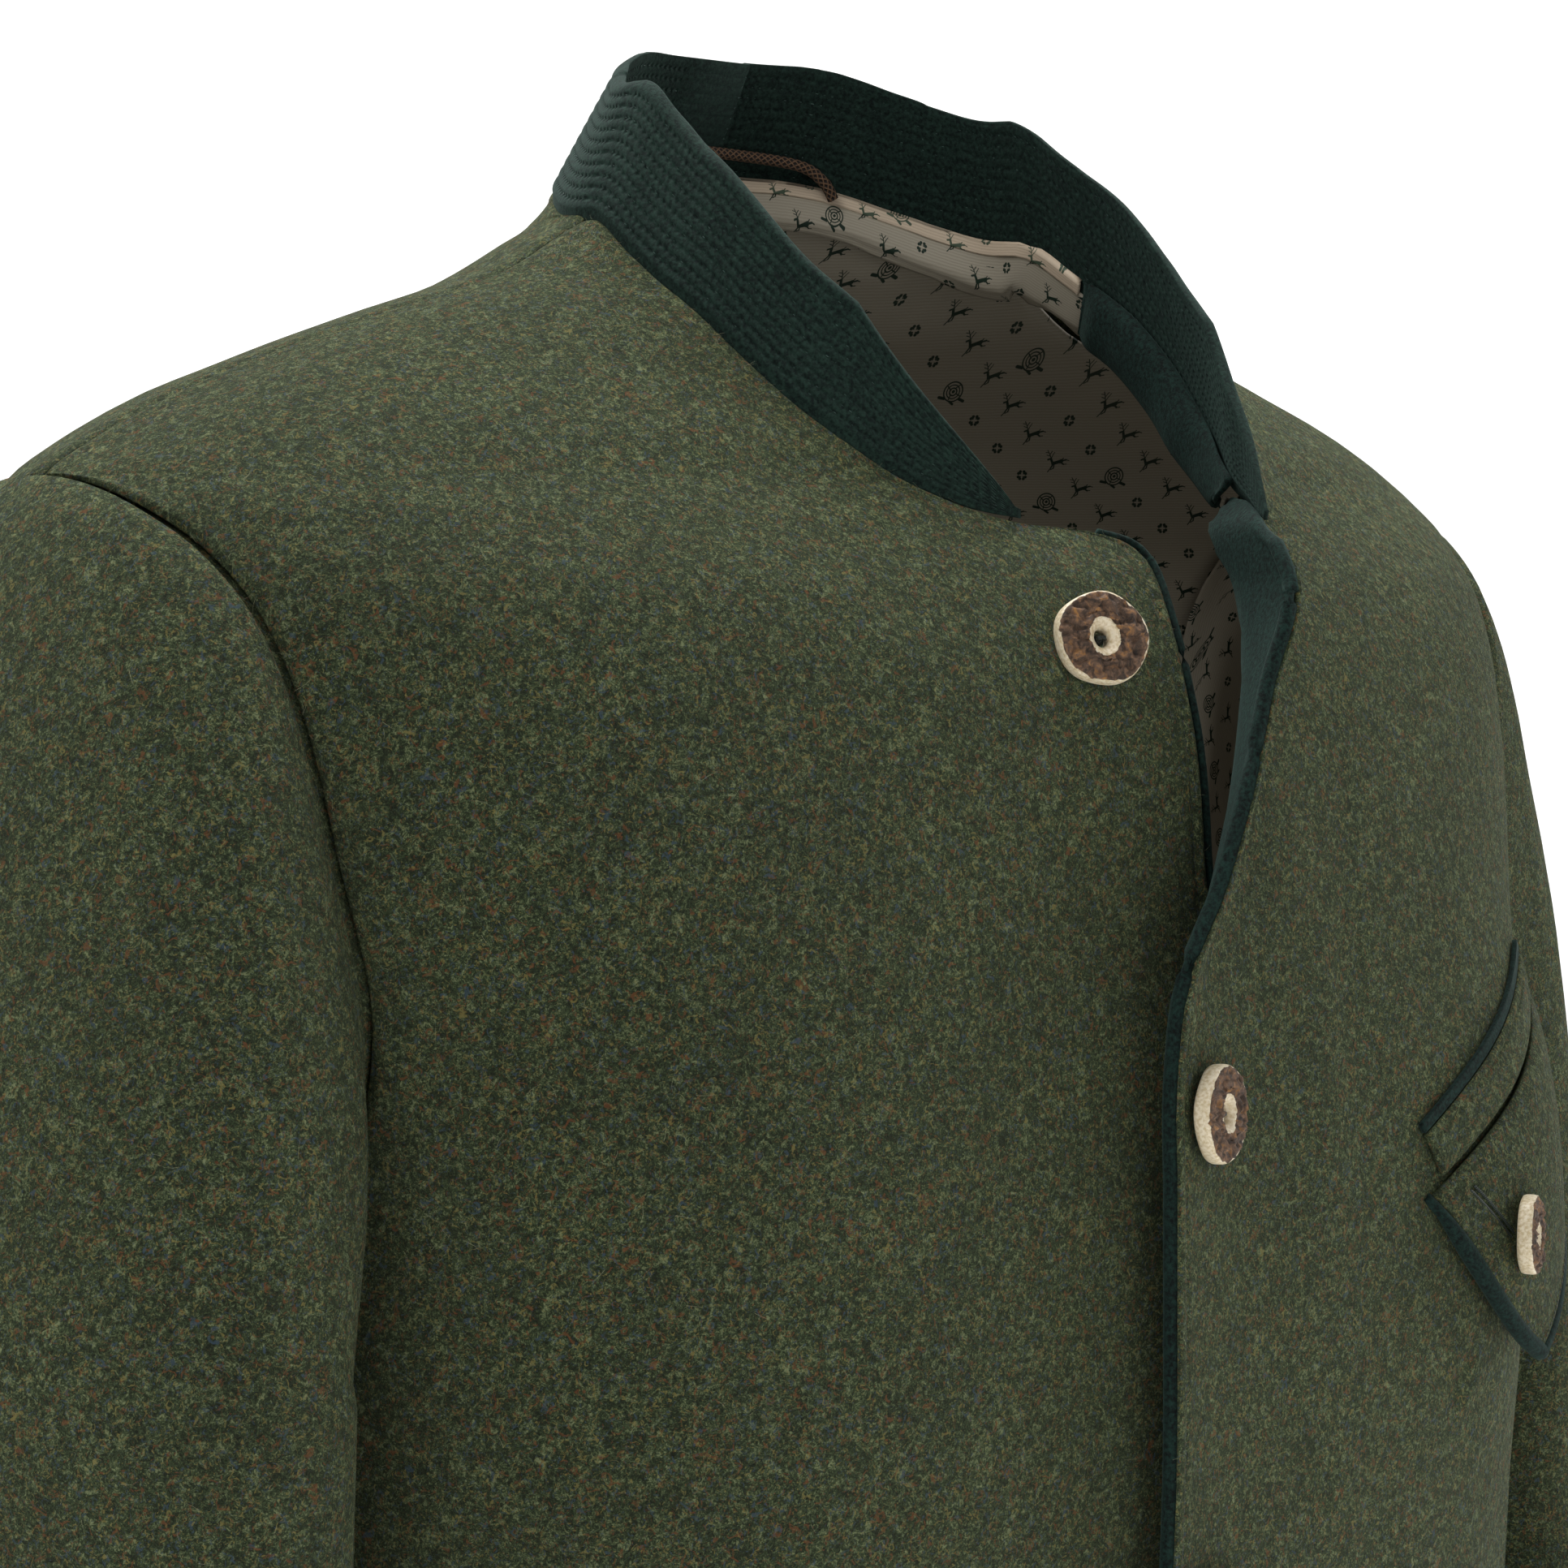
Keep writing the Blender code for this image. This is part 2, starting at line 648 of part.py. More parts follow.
def collar_frames():
    frames = []
    for k in range(COLLAR_SECTIONS):
        share = k / (COLLAR_SECTIONS - 1)
        share = share - COLLAR_CROWDING * sin(2 * pi * share)
        i = min(range(NECK_STEPS + 1), key=lambda n: abs(NECK_LENGTHS[n] - share * NECK_LENGTHS[-1]))
        frames.append(collar_frame(4 * i / NECK_STEPS))
    return frames


def beside_collar(u, rise, clearance):
    """Point inside the collar, at a height over its foot and a clearance from its inner face."""
    foot, inward, up, _ = collar_frame(u)
    return foot + up * (rise / up.z) + inward * (COLLAR_WALL + clearance)


def make_collar(material, collection):
    """Stand collar: channels of stitching stand out on its outer face, its inside is plain."""
    outline = []
    per_rib = 2
    for k in range(COLLAR_RIBS * per_rib + 1):
        outline.append((k / (COLLAR_RIBS * per_rib), k % per_rib))
    vertices, faces = [], []
    frames = collar_frames()
    for foot, inward, up, full in frames:
        for share, crest in outline:
            relief = RIB_RELIEF * crest * full
            vertices.append(foot + up * share - inward * relief)
        wall = COLLAR_WALL * (0.35 + 0.65 * min(1.0, full * 1.4))
        vertices.append(foot + up + inward * wall)
        vertices.append(foot + inward * wall)
    size = len(outline) + 2
    for s in range(len(frames) - 1):
        for k in range(size):
            n = (k + 1) % size
            faces.append((s * size + k, s * size + n, (s + 1) * size + n, (s + 1) * size + k))
    faces.append(tuple(range(size - 1, -1, -1)))
    faces.append(tuple((len(frames) - 1) * size + k for k in range(size)))
    mesh = bpy.data.meshes.new("collar")
    mesh.from_pydata([tuple(v * MM) for v in vertices], [], faces)
    return link("collar", mesh, material, collection)


def seam_cover(stations, widths, rise):
    """Grid of a strip that starts a rise up the collar's foot and lies on the lining below it."""
    grid = []
    for u, width in zip(stations, widths):
        surface, height, angle = neck_station(u)
        row = [beside_collar(u, rise, STRIP_CLEARANCE), beside_collar(u, 0.0, STRIP_CLEARANCE)]
        for reach in (min(3.0, 0.45 * width), 0.5 * width + 1, width):
            if surface is back_point:
                row.append(inside(surface, height - 0.75 * reach, angle, STRIP_DEPTH))
            else:
                side = 1 if u > 2 else -1
                x = surface(height, angle).x + side * reach * 0.9
                row.append(inside(surface, height - 0.2 * reach, angle_at(height, x, 1), STRIP_DEPTH))
        grid.append(row)
    return grid


def neck_tape_grid():
    """The printed tape that covers the neck seam inside the back."""
    stations = [0.86 + 2.28 * k / (TAPE_STATIONS - 1) for k in range(TAPE_STATIONS)]
    return seam_cover(stations, [TAPE_WIDTH] * TAPE_STATIONS, TAPE_RISE)


def neck_facing_grid(side):
    """Felt under the neck seam of a front, rounded off at the shoulder."""
    stations = [0.82, 0.79, 0.75, 0.70, 0.62, 0.53, 0.44, 0.35, 0.26, 0.18, 0.12]
    widths = [5, 12, 20, 27, 31, 31, 30, 28, 24, 18, 12]
    if side > 0:
        stations = [4 - u for u in stations]
    return seam_cover(stations, widths, NECK_FACING_RISE)


# ---------------------------------------------------------------- sleeves

def armhole_loop(side, depth=0.0):
    """Armhole from the shoulder point down the front, under the arm and up the back."""
    front, back = [], []
    for height in [SHOULDER_POINT] + armhole_heights(1):
        front.append(inside(front_surface(side), height, side * outer_angle(1, height), depth))
    for height in armhole_heights(-1):
        back.append(inside(back_point, height, side * outer_angle(-1, height), depth))
    return front + list(reversed(back))[1:]


def ring_angle(k):
    """Angle round a sleeve of its k-th point: 0 on top, pi under the arm."""
    front = len(FRONT_ARM_SHARES)
    return pi * k / front if k <= front else pi + pi * (k - front) / len(BACK_ARM_SHARES)


def sleeve_ring(side, row):
    height, x, y, half_width, half_depth = row
    out, back = ARM_SET[side]
    centre = Vector((side * (x + out), y + back, height))
    points = []
    turn = radians(SLEEVE_TURN)
    for k in range(AROUND):
        angle = ring_angle(k)
        across, along = half_width * cos(angle), half_depth * sin(angle)
        x = across * cos(turn) - along * sin(turn)
        y = -across * sin(turn) - along * cos(turn)
        points.append(centre + Vector((side * x, y, -SLEEVE_TILT * 0.4 * y)))
    return points


def hermite(a, a_out, b, b_in, t):
    return (a * (2 * t**3 - 3 * t**2 + 1) + a_out * (t**3 - 2 * t**2 + t)
            + b * (3 * t**2 - 2 * t**3) + b_in * (t**3 - t**2))


def sleeve_grid(side):
    loop = armhole_loop(side)
    first = sleeve_ring(side, SLEEVE[0])
    grid = []
    for t in [k / CAP_STEPS for k in range(CAP_STEPS)]:
        ring = []
        for k, (start, end) in enumerate(zip(loop, first)):
            top = 0.5 + 0.5 * cos(ring_angle(k))
            shares = Vector((t ** (0.62 + 0.08 * top), t ** 0.75, t ** (1 + 0.4 * top)))
            point = start + (end - start) * shares
            point.y -= HEAD_SWELL * sin(pi * t) * bump(ring_angle(k) - 0.75 * pi, 0.3 * pi)
            ring.append(point + Vector((side * SLEEVE_STAND * (1.6 - 0.6 * top), 0, 0)))
        grid.append(ring)
    at = columns_of(SLEEVE, SLEEVE_COLUMNS)
    top, bottom = SLEEVE[0][0], SLEEVE[-1][0]
    for k in range(ARM_STEPS + 1):
        height = top + (bottom - top) * k / ARM_STEPS
        row = (height,) + tuple(at[name](height) for name in SLEEVE_COLUMNS[1:])
        ring = sleeve_ring(side, row)
        centre = Vector((side * (row[1] + ARM_SET[side][0]), row[2] + ARM_SET[side][1], height))
        swell = sum(depth * bump(height - centre_height, SLEEVE_FOLD_REACH) for centre_height, depth in SLEEVE_FOLDS)
        folded = []
        for p in ring:
            inner_bend = smooth(0.5 - (p.y - centre.y) / (2 * row[4]))
            folded.append(p + (p - centre).normalized() * swell * inner_bend)
        grid.append(folded)
    return grid


def drawn_in(ring, distance, weights):
    """Every second point of a ring, moved towards its middle in a weighted direction."""
    centre = sum(ring, Vector()) / len(ring)
    return [p + ((centre - p) * Vector(weights)).normalized() * distance for p in ring[::2]]


def sleeve_lining_grid(side, grid):
    """A looser tube inside a sleeve, from the body's lining to just above the cuff."""
    tube = [drawn_in(armhole_loop(side, LINING_DEPTH), SLEEVE_LINING_START, (0, 1, 1))]
    for ring in grid[1:-1:2]:
        tube.append(drawn_in(ring, SLEEVE_LINING_INSET, (3, 1, 0.5)))
    return tube


# ---------------------------------------------------------------- buttons, pocket and loop

def button_mesh(name, diameter):
    """A slice of antler: a slightly uneven ring with an oval hole."""
    vertices, faces = [], []
    for k in range(BUTTON_AROUND):
        angle = 2 * pi * k / BUTTON_AROUND
        uneven = 1 + 0.025 * sin(2 * angle + 0.6) + 0.018 * sin(5 * angle)
        for radius, level in BUTTON_PROFILE:
            oval = 1.0 if radius > 0.5 else 1 + 0.35 * sin(angle) ** 2
            reach = radius * diameter / 2 * (uneven if radius > 0.5 else oval)
            vertices.append(Vector((reach * cos(angle), reach * sin(angle), level * BUTTON_THICKNESS)))
    size = len(BUTTON_PROFILE)
    for k in range(BUTTON_AROUND):
        for i in range(size):
            n = (i + 1) % size
            following = (k + 1) % BUTTON_AROUND
            faces.append((k * size + i, following * size + i, following * size + n, k * size + n))
    mesh = bpy.data.meshes.new(name)
    mesh.from_pydata([tuple(v * MM) for v in vertices], [], faces)
    return mesh


def place_button(name, diameter, seat, facing, stand, material, collection):
    obj = link(name, button_mesh(name, diameter), material, collection)
    obj.location = (seat + facing.normalized() * stand) * MM
    obj.rotation_euler = facing.to_track_quat("Z", "Y").to_euler()
    return obj


def on_front(side, x, height, away=0.0):
    """Point over the outer face of a front, at a place across and up."""
    return inside(front_surface(side), height, angle_at(height, x, 1), -away)


def facing_at(point_at, x, height):
    """Outward normal of a surface given by a function of places across and up."""
    across = point_at(x + 1, height) - point_at(x - 1, height)
    normal = across.cross(point_at(x, height + 1) - point_at(x, height - 1)).normalized()
    return normal if normal.y < 0 else -normal


def pocket_spot(along, below):
    """Place across and up of a point given along the pocket's slit and below it."""
    first, last = Vector(SLIT_INNER), Vector(SLIT_OUTER)
    direction = (last - first).normalized()
    return first + direction * along + Vector((direction.y, -direction.x)) * below


def flap_point(across, down, away):
    """Point over the flap: across from its inner edge, down from its top edge."""
    a, b, c, d = (pocket_spot(*corner) for corner in FLAP_CORNERS)
    spot = a.lerp(d, across).lerp(b.lerp(c, across), down)
    corner = max(0.0, min(1.0, down) * (1 - max(0.0, across)))
    spot = spot.lerp((a + b + c + d) / 4, FLAP_TIP_ROUNDING * corner ** 4)
    stand = FLAP_STAND * max(0.0, down) ** 1.3 * (1.1 - 0.5 * across)
    return on_front(1, spot.x, spot.y, away + stand)


def flap_grid(away, spread):
    """Grid over the flap; the spread, a length, carries its free edges further out."""
    grid = []
    for r in range(FLAP_ROWS):
        row = []
        for k in range(FLAP_COLUMNS):
            down = r / (FLAP_ROWS - 1) * (1 + spread / FLAP_DROP)
            across = k / (FLAP_COLUMNS - 1) * (1 + 2 * spread / FLAP_WIDTH) - spread / FLAP_WIDTH
            row.append(flap_point(across, down, away))
        grid.append(row)
    return grid


def band_grid(high, low, away, length, cols=BAND_COLUMNS):
    """A band along the pocket's slit, between two distances below it."""
    grid = []
    for below in (high, (low + high) / 2, low):
        row = []
        for k in range(cols):
            spot = pocket_spot(length * k / (cols - 1), below)
            row.append(on_front(1, spot.x, spot.y, away))
        grid.append(row)
    return grid


def make_loop(material, collection):
    curve = bpy.data.curves.new("hanging_loop", "CURVE")
    curve.dimensions = "3D"
    curve.bevel_depth = LOOP_DIAMETER / 2 * MM
    curve.bevel_resolution = 2
    curve.use_fill_caps = True
    route = [beside_collar(*place) for place in LOOP_ROUTE]
    points = []
    for i in range(len(route) - 1):
        before, after = route[max(i - 1, 0)], route[min(i + 2, len(route) - 1)]
        out, into = (route[i + 1] - before) / 2, (after - route[i]) / 2
        points += [hermite(route[i], out, route[i + 1], into, t / 2) for t in range(2)]
    points.append(route[-1])
    spline = curve.splines.new("POLY")
    spline.points.add(len(points) - 1)
    for target, point in zip(spline.points, points):
        target.co = (*(point * MM), 1)
    return link("hanging_loop", curve, material, collection)


# ---------------------------------------------------------------- assembly

def make_material(name, colour, roughness=0.9):
    material = bpy.data.materials.new(name)
    material.use_nodes = True
    shader = material.node_tree.nodes["Principled BSDF"]
    shader.inputs["Base Color"].default_value = (*colour, 1)
    shader.inputs["Roughness"].default_value = roughness
    shader.inputs["Metallic"].default_value = 0.0
    return material


def build():
    for obj in list(bpy.data.objects):
        bpy.data.objects.remove(obj, do_unlink=True)
    jacket = bpy.data.collections.new(COLLECTION)
    bpy.context.scene.collection.children.link(jacket)
    paint = {name: make_material(name, colour) for name, colour in COLOURS.items()}

    loden, felt, lining = paint["loden"], paint["felt"], paint["lining"]
    cloth("back", back_grid(), LODEN, loden, jacket, flip=True)
    cloth("lining_back", lining_back_grid(), LINING, lining, jacket, flip=True)
    for side, label in ((-1, "right"), (1, "left")):
        cloth("front_" + label, front_grid(side), LODEN, loden, jacket, flip=side < 0)
        sleeve = sleeve_grid(side)
        cloth("sleeve_" + label, sleeve, LODEN, loden, jacket, flip=side > 0, closed_across=True)
        cloth("sleeve_lining_" + label, sleeve_lining_grid(side, sleeve), LINING, lining, jacket,
              flip=side > 0, closed_across=True)
        cloth("facing_" + label, facing_grid(side), FELT, felt, jacket, flip=side < 0)
        cloth("lining_" + label, lining_front_grid(side), LINING, lining, jacket, flip=side < 0)
        cloth("neck_facing_" + label, neck_facing_grid(side), FELT, felt, jacket, flip=side < 0)
    make_collar(felt, jacket)
    cloth("neck_tape", neck_tape_grid(), LINING, paint["tape"], jacket)
    make_loop(paint["cord"], jacket)

    def right_at(x, height):
        return on_front(-1, x, height)

    def left_at(x, height):
        return on_front(1, x, height)

    droop = facing_at(right_at, TOP_BUTTON_X, TOP_BUTTON_HEIGHT) + Vector(TOP_BUTTON_LEAN)
    place_button("button_1", BUTTON, right_at(TOP_BUTTON_X, TOP_BUTTON_HEIGHT), droop, TOP_BUTTON_STAND,
                 paint["staghorn"], jacket)
    for k in range(BUTTON_COUNT - 1):
        height = SECOND_BUTTON_HEIGHT - BUTTON_PITCH * k
        place_button(f"button_{k + 2}", BUTTON, left_at(FRONT_BUTTON_X, height),
                     facing_at(left_at, FRONT_BUTTON_X, height), BUTTON_SEAT, paint["staghorn"], jacket)

    slit = (Vector(SLIT_OUTER) - Vector(SLIT_INNER)).length
    cloth("pocket_lip", band_grid(-LIP_WIDTH, -GAP, FELT + GAP, slit), FELT, felt, jacket)
    cloth("pocket_welt", band_grid(0, WELT_WIDTH, LODEN + GAP, slit), LODEN, loden, jacket)
    under = FELT + GAP
    over = under + GAP + LODEN
    cloth("pocket_flap_facing", flap_grid(under, FLAP_EDGE), FELT, felt, jacket)
    cloth("pocket_flap", flap_grid(over, 0.0), LODEN, loden, jacket)

    across, down = POCKET_BUTTON_SPOT
    sideways = flap_point(across + 0.05, down, over) - flap_point(across - 0.05, down, over)
    upwards = flap_point(across, down - 0.05, over) - flap_point(across, down + 0.05, over)
    place_button("pocket_button", POCKET_BUTTON, flap_point(across, down, over),
                 sideways.cross(upwards), POCKET_BUTTON_SEAT, paint["staghorn"], jacket)


build()
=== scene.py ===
# %% [markdown]
# # A Tyrolean loden jacket
#
# This lesson dresses a jacket of fulled wool: a men's Janker with a stitched stand collar, antler
# buttons, a chest pocket with a pointed flap and a printed lining. It stands open at the neck as if
# somebody wore it. The frame holds the plain solids of the same jacket, and each cell below puts a
# finer piece on the form of one of them.

# %% Load the frame
import random
from bisect import bisect_right
from functools import partial
from math import atan2, cos, exp, pi, radians, sin

import bmesh
import bpy
from mathutils import Matrix, Vector, noise


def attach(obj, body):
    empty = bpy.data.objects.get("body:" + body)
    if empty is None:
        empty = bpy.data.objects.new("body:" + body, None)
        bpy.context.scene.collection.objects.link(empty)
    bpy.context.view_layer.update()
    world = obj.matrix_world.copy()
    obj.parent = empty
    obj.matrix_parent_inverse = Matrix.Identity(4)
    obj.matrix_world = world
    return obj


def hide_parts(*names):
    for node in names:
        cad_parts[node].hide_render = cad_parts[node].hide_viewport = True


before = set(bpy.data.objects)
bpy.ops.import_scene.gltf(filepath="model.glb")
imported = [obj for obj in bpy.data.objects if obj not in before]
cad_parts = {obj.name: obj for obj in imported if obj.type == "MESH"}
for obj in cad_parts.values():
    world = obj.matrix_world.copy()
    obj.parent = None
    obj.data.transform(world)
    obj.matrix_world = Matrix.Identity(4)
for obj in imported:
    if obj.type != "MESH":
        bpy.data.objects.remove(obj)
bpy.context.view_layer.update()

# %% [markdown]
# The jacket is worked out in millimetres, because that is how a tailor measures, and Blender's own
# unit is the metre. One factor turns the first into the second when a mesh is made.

MM = 0.001
SIDES = ((-1, "right"), (1, "left"))     # the wearer's right has negative x
scene = bpy.context.scene
scene.view_settings.view_transform = "Standard"

# %% [markdown]
# ## The camera and the studio
#
# A garment in a catalogue is lit by large soft lights in front of a white sweep, and the
# camera stands several steps back with a long lens, so that shoulders and hem keep their size. The
# camera's place is worked out from an azimuth, an elevation and a distance, like a tripod's.

# %% Camera
AZIMUTH = radians(-41.9583)
ELEVATION = radians(2.8901)
DISTANCE = 1.01751
FOCAL_PIXELS = 4733.43
PICTURE_PIXELS = 1932
SENSOR_WIDTH = 36            # millimetres, Blender's usual sensor
AIM_RIGHT = -0.011104
AIM_UP = -0.151982

backward = Vector((sin(AZIMUTH) * cos(ELEVATION), -cos(AZIMUTH) * cos(ELEVATION), sin(ELEVATION)))
rightward = Vector((cos(AZIMUTH), sin(AZIMUTH), 0))
upward = backward.cross(rightward)
camera_data = bpy.data.cameras.new("camera")
camera_data.sensor_width = SENSOR_WIDTH
camera_data.lens = SENSOR_WIDTH * FOCAL_PIXELS / PICTURE_PIXELS
camera_data.clip_start = 0.05
camera = bpy.data.objects.new("camera", camera_data)
turned = Matrix((rightward, upward, backward)).transposed().to_4x4()
place = rightward * AIM_RIGHT + upward * AIM_UP + backward * DISTANCE
camera.matrix_world = Matrix.Translation(place) @ turned
scene.collection.objects.link(camera)
scene.camera = camera
print("camera at", [round(v, 4) for v in place], "lens", round(camera_data.lens, 1))


# %% [markdown]
# A few small helpers make every material in this file. The first turns a colour from a paint chart,
# written in hex as a screen shows it, into the linear light that a renderer adds up. Another adds a
# node, sets it and links it, so that a material reads as a list of what it is made of.

# %% Colours and nodes
def ink(code):
    """A hex colour as linear light."""
    shares = [int(code[k:k + 2], 16) / 255 for k in (0, 2, 4)]
    return tuple(s / 12.92 if s <= 0.04045 else ((s + 0.055) / 1.055) ** 2.4 for s in shares) + (1.0,)


def plug(node, inputs):
    """Fills a node's inputs, given by name or in order; a socket or a node's first output is linked."""
    for key, value in inputs.items() if isinstance(inputs, dict) else enumerate(inputs):
        if isinstance(value, bpy.types.Node):
            value = value.outputs[0]
        if isinstance(value, bpy.types.NodeSocket):
            node.id_data.links.new(value, node.inputs[key])
        else:
            node.inputs[key].default_value = value


def add_node(tree, kind, inputs=(), stops=None, **settings):
    """Adds a shader node; kind may carry an operation, and stops are a colour ramp's."""
    kind, *operation = kind.split()
    made = tree.nodes.new("ShaderNode" + kind)
    if operation:
        made.operation = operation[0]
    for key, value in settings.items():
        setattr(made, key, value)
    plug(made, inputs)
    if stops:
        ramp = made.color_ramp
        while len(ramp.elements) < len(stops):
            ramp.elements.new(0.5)
        for element, (position, colour) in zip(ramp.elements, stops):
            element.position = position
            element.color = colour
    return made


def new_material(name):
    """An empty material, its shader and the function that adds a node to it."""
    material = bpy.data.materials.new(name)
    material.use_nodes = True
    tree = material.node_tree
    return material, tree.nodes["Principled BSDF"], partial(add_node, tree)


# %% [markdown]
# The studio is a sweep: a floor that bends up into a wall with no corner, so that no horizon shows.
# It is one strip of faces, moved on to the curve of the sweep.

# %% Sweep, world and lights
# All in metres. The sweep starts in front of the jacket by SWEEP_FRONT and bends up behind it.
FLOOR = -0.745
SWEEP_DEPTH = 2.2
SWEEP_BEND = 1.0
SWEEP_LENGTH = 9.0
SWEEP_FRONT = 4.0
SWEEP_WIDTH = 16

sweep_mesh = bpy.data.meshes.new("sweep")
bm = bmesh.new()
bmesh.ops.create_grid(bm, x_segments=1, y_segments=40, size=0.5)
for vert in bm.verts:
    run = (vert.co.y + 0.5) * SWEEP_LENGTH - SWEEP_FRONT
    bend = min(max(run - SWEEP_DEPTH, 0.0), SWEEP_BEND * pi / 2) / SWEEP_BEND
    beyond = max(run - SWEEP_DEPTH - SWEEP_BEND * pi / 2, 0.0)
    along = min(run, SWEEP_DEPTH) + SWEEP_BEND * sin(bend)
    rise = SWEEP_BEND * (1 - cos(bend)) + beyond
    away = -Vector((backward.x, backward.y, 0)).normalized()
    vert.co = away * along + rightward * vert.co.x * SWEEP_WIDTH + Vector((0, 0, FLOOR + rise))
bm.to_mesh(sweep_mesh)
bm.free()
sweep_mesh.shade_smooth()
sweep = bpy.data.objects.new("sweep", sweep_mesh)
scene.collection.objects.link(sweep)
paper, shader, _ = new_material("white studio paper")
plug(shader, {"Base Color": ink("f4f4f2"), "Roughness": 0.9, "Specular IOR Level": 0.1,
              "Emission Color": ink("ffffff"), "Emission Strength": 0.5})
sweep_mesh.materials.append(paper)

world = bpy.data.worlds.new("studio")
scene.world = world
world.use_nodes = True
plug(world.node_tree.nodes["Background"], {"Color": ink("ffffff"), "Strength": 0.3})

# Name, place, aim, width and power of each softbox.
SOFTBOXES = (
    ("top", (0.1, 0.5, 1.5), (0.0, 0.0, -0.1), 1.3, 44.0),
    ("right", (1.9, -0.7, 0.75), (0.05, 0.0, -0.15), 0.9, 11.5),
    ("left", (-1.6, -0.6, 1.2), (-0.1, 0.0, -0.2), 1.0, 10.5),
)
for name, stand, aim, width, power in SOFTBOXES:
    light = bpy.data.lights.new(name, "AREA")
    light.size = width
    light.energy = power
    lamp = bpy.data.objects.new(name, light)
    lamp.location = stand
    lamp.rotation_euler = (Vector(stand) - Vector(aim)).to_track_quat("Z", "Y").to_euler()
    scene.collection.objects.link(lamp)
print("studio:", len(SOFTBOXES), "softboxes")


# %% [markdown]
# ## The sizes of the jacket
#
# A pattern cutter starts from a table of sizes. These are the jacket's: thicknesses of the cloths,
# the collar, the buttons and the pocket, then the body as level sections with a half width and a
# depth in front and behind. The solids in the frame were worked out from the same numbers, so a
# piece made from them lands where its solid is.

# %% Sizes
# Cloth thicknesses and the clearance between pieces.
LODEN = 2.2
FELT = 1.3
LINING = 1.0
GAP = 0.35

# Collar.
COLLAR_HEIGHT = 34.0
COLLAR_WALL = 3.0
COLLAR_RIBS = 11
RIB_RELIEF = 0.55
COLLAR_POINT = 46.0          # length over which each end runs out to its point
COLLAR_STAND = 1.35          # clearance over the neck seam

# Buttons of staghorn.
BUTTON = 23.6
POCKET_BUTTON = 21.0
BUTTON_THICKNESS = 5.0
BUTTON_PITCH = 122.0
SECOND_BUTTON_HEIGHT = -226.0
BUTTON_COUNT = 5
TOP_BUTTON_HEIGHT = -114.0
TOP_BUTTON_X = -16.5
TOP_BUTTON_LEAN = (-0.30, 0.0, -0.16)    # the unfastened button droops towards the arm
TOP_BUTTON_STAND = 4.0
BUTTON_SEAT = 2.0            # length of the thread under a button
POCKET_BUTTON_SEAT = 0.8
FRONT_BUTTON_X = -5.0
POCKET_BUTTON_SPOT = (0.19, 0.42)        # across and down on the flap
POCKET_BUTTON_LEAN = (0.38, 0.1, -0.05)

# Facings, lining and neck tape.
FACING_WIDTH = 58.0
PIPING = 1.6                 # felt that shows past the edge of the right front
SLEEVE_LINING_INSET = 9.5
SLEEVE_LINING_START = 7.0    # the same inset at the armhole
FACING_DEPTH = LODEN + GAP + 0.4
LINING_DEPTH = LODEN + GAP + 2.6            # the lining hangs a little free of its panel
NECK_MARGIN = 3.0            # the lining stops this short of the neck seam
STRIP_DEPTH = LINING_DEPTH + LINING + 3.0
STRIP_CLEARANCE = 1.1        # from the collar to the strips that cover the neck seam
TAPE_WIDTH = 3.6             # below the neck seam
TAPE_RISE = 1.2              # above it
NECK_FACING_RISE = 2.4
HEM = -730.0

# Right and left front panels lap by this much below the open neck.
LAP_DEPTH = 4.6

# Horizontal sections of the body, from the back of the neck to the hem. The front and back
# depths are measured from the seam line of shoulder and side, which lies at seam_y.
BODY_COLUMNS = ("height", "half_width", "front", "back", "front_power", "back_power", "seam_y")
BODY = (
    (12, 71, 26, 60, 2.0, 2.0, 2),
    (2, 73, 28, 68, 2.0, 2.0, 3),
    (-6, 78, 31, 75, 2.0, 2.0, 5),
    (-12, 87, 34, 79, 2.0, 2.0, 7),
    (-22, 104, 43, 86, 2.1, 2.0, 9),
    (-32, 134, 54, 89, 2.1, 2.1, 11),
    (-42.5, 165, 64, 91, 2.15, 2.1, 13),
    (-54, 194, 76, 92, 2.2, 2.2, 15),
    (-64.5, 215, 87, 92, 2.2, 2.2, 16),
    (-74, 229, 95, 92, 2.25, 2.2, 17),
    (-84, 236, 106, 92, 2.3, 2.25, 17),
    (-100, 238, 120, 92, 2.35, 2.3, 16),
    (-125, 234, 131, 93, 2.4, 2.35, 14),
    (-160, 225, 137, 95, 2.5, 2.4, 11),
    (-200, 214, 141, 96, 2.6, 2.45, 9),
    (-245, 209, 145, 95, 2.7, 2.5, 8),
    (-300, 208, 146, 91, 2.7, 2.5, 7),
    (-360, 209, 144, 84, 2.6, 2.4, 6),
    (-430, 207, 142, 80, 2.5, 2.4, 5),
    (-510, 207, 141, 87, 2.45, 2.4, 4),
    (-610, 211, 141, 97, 2.4, 2.4, 3),
    (HEM, 215, 143, 104, 2.4, 2.4, 3),
)
NECK_BACK_TOP = 12.0
SHOULDER_NECK = -6.0
SHOULDER_POINT = -74.0
UNDERARM = -245.0

# Distance of each armhole from the middle of the body, on the front and on the back.
ARMHOLE_COLUMNS = ("height", "front", "back")
ARMHOLE = (
    (SHOULDER_POINT, 229, 229),
    (-82, 225, 226.5),
    (-90, 220, 223),
    (-114, 212, 214),
    (-160, 204, 204),
    (-200, 197, 198),
    (-214, 197.5, 198.5),
    (-226, 200, 200.5),
    (-234, 204, 204),
    (-240, 207, 207),
    (-243.6, 208.6, 208.6),
    (UNDERARM, 209, 209),
)

# Neckline at the back: distance from the middle.
BACK_NECK_COLUMNS = ("height", "reach")
BACK_NECK = ((NECK_BACK_TOP, 10), (11.5, 30), (9, 46), (4, 60), (-1, 70), (SHOULDER_NECK, 78))

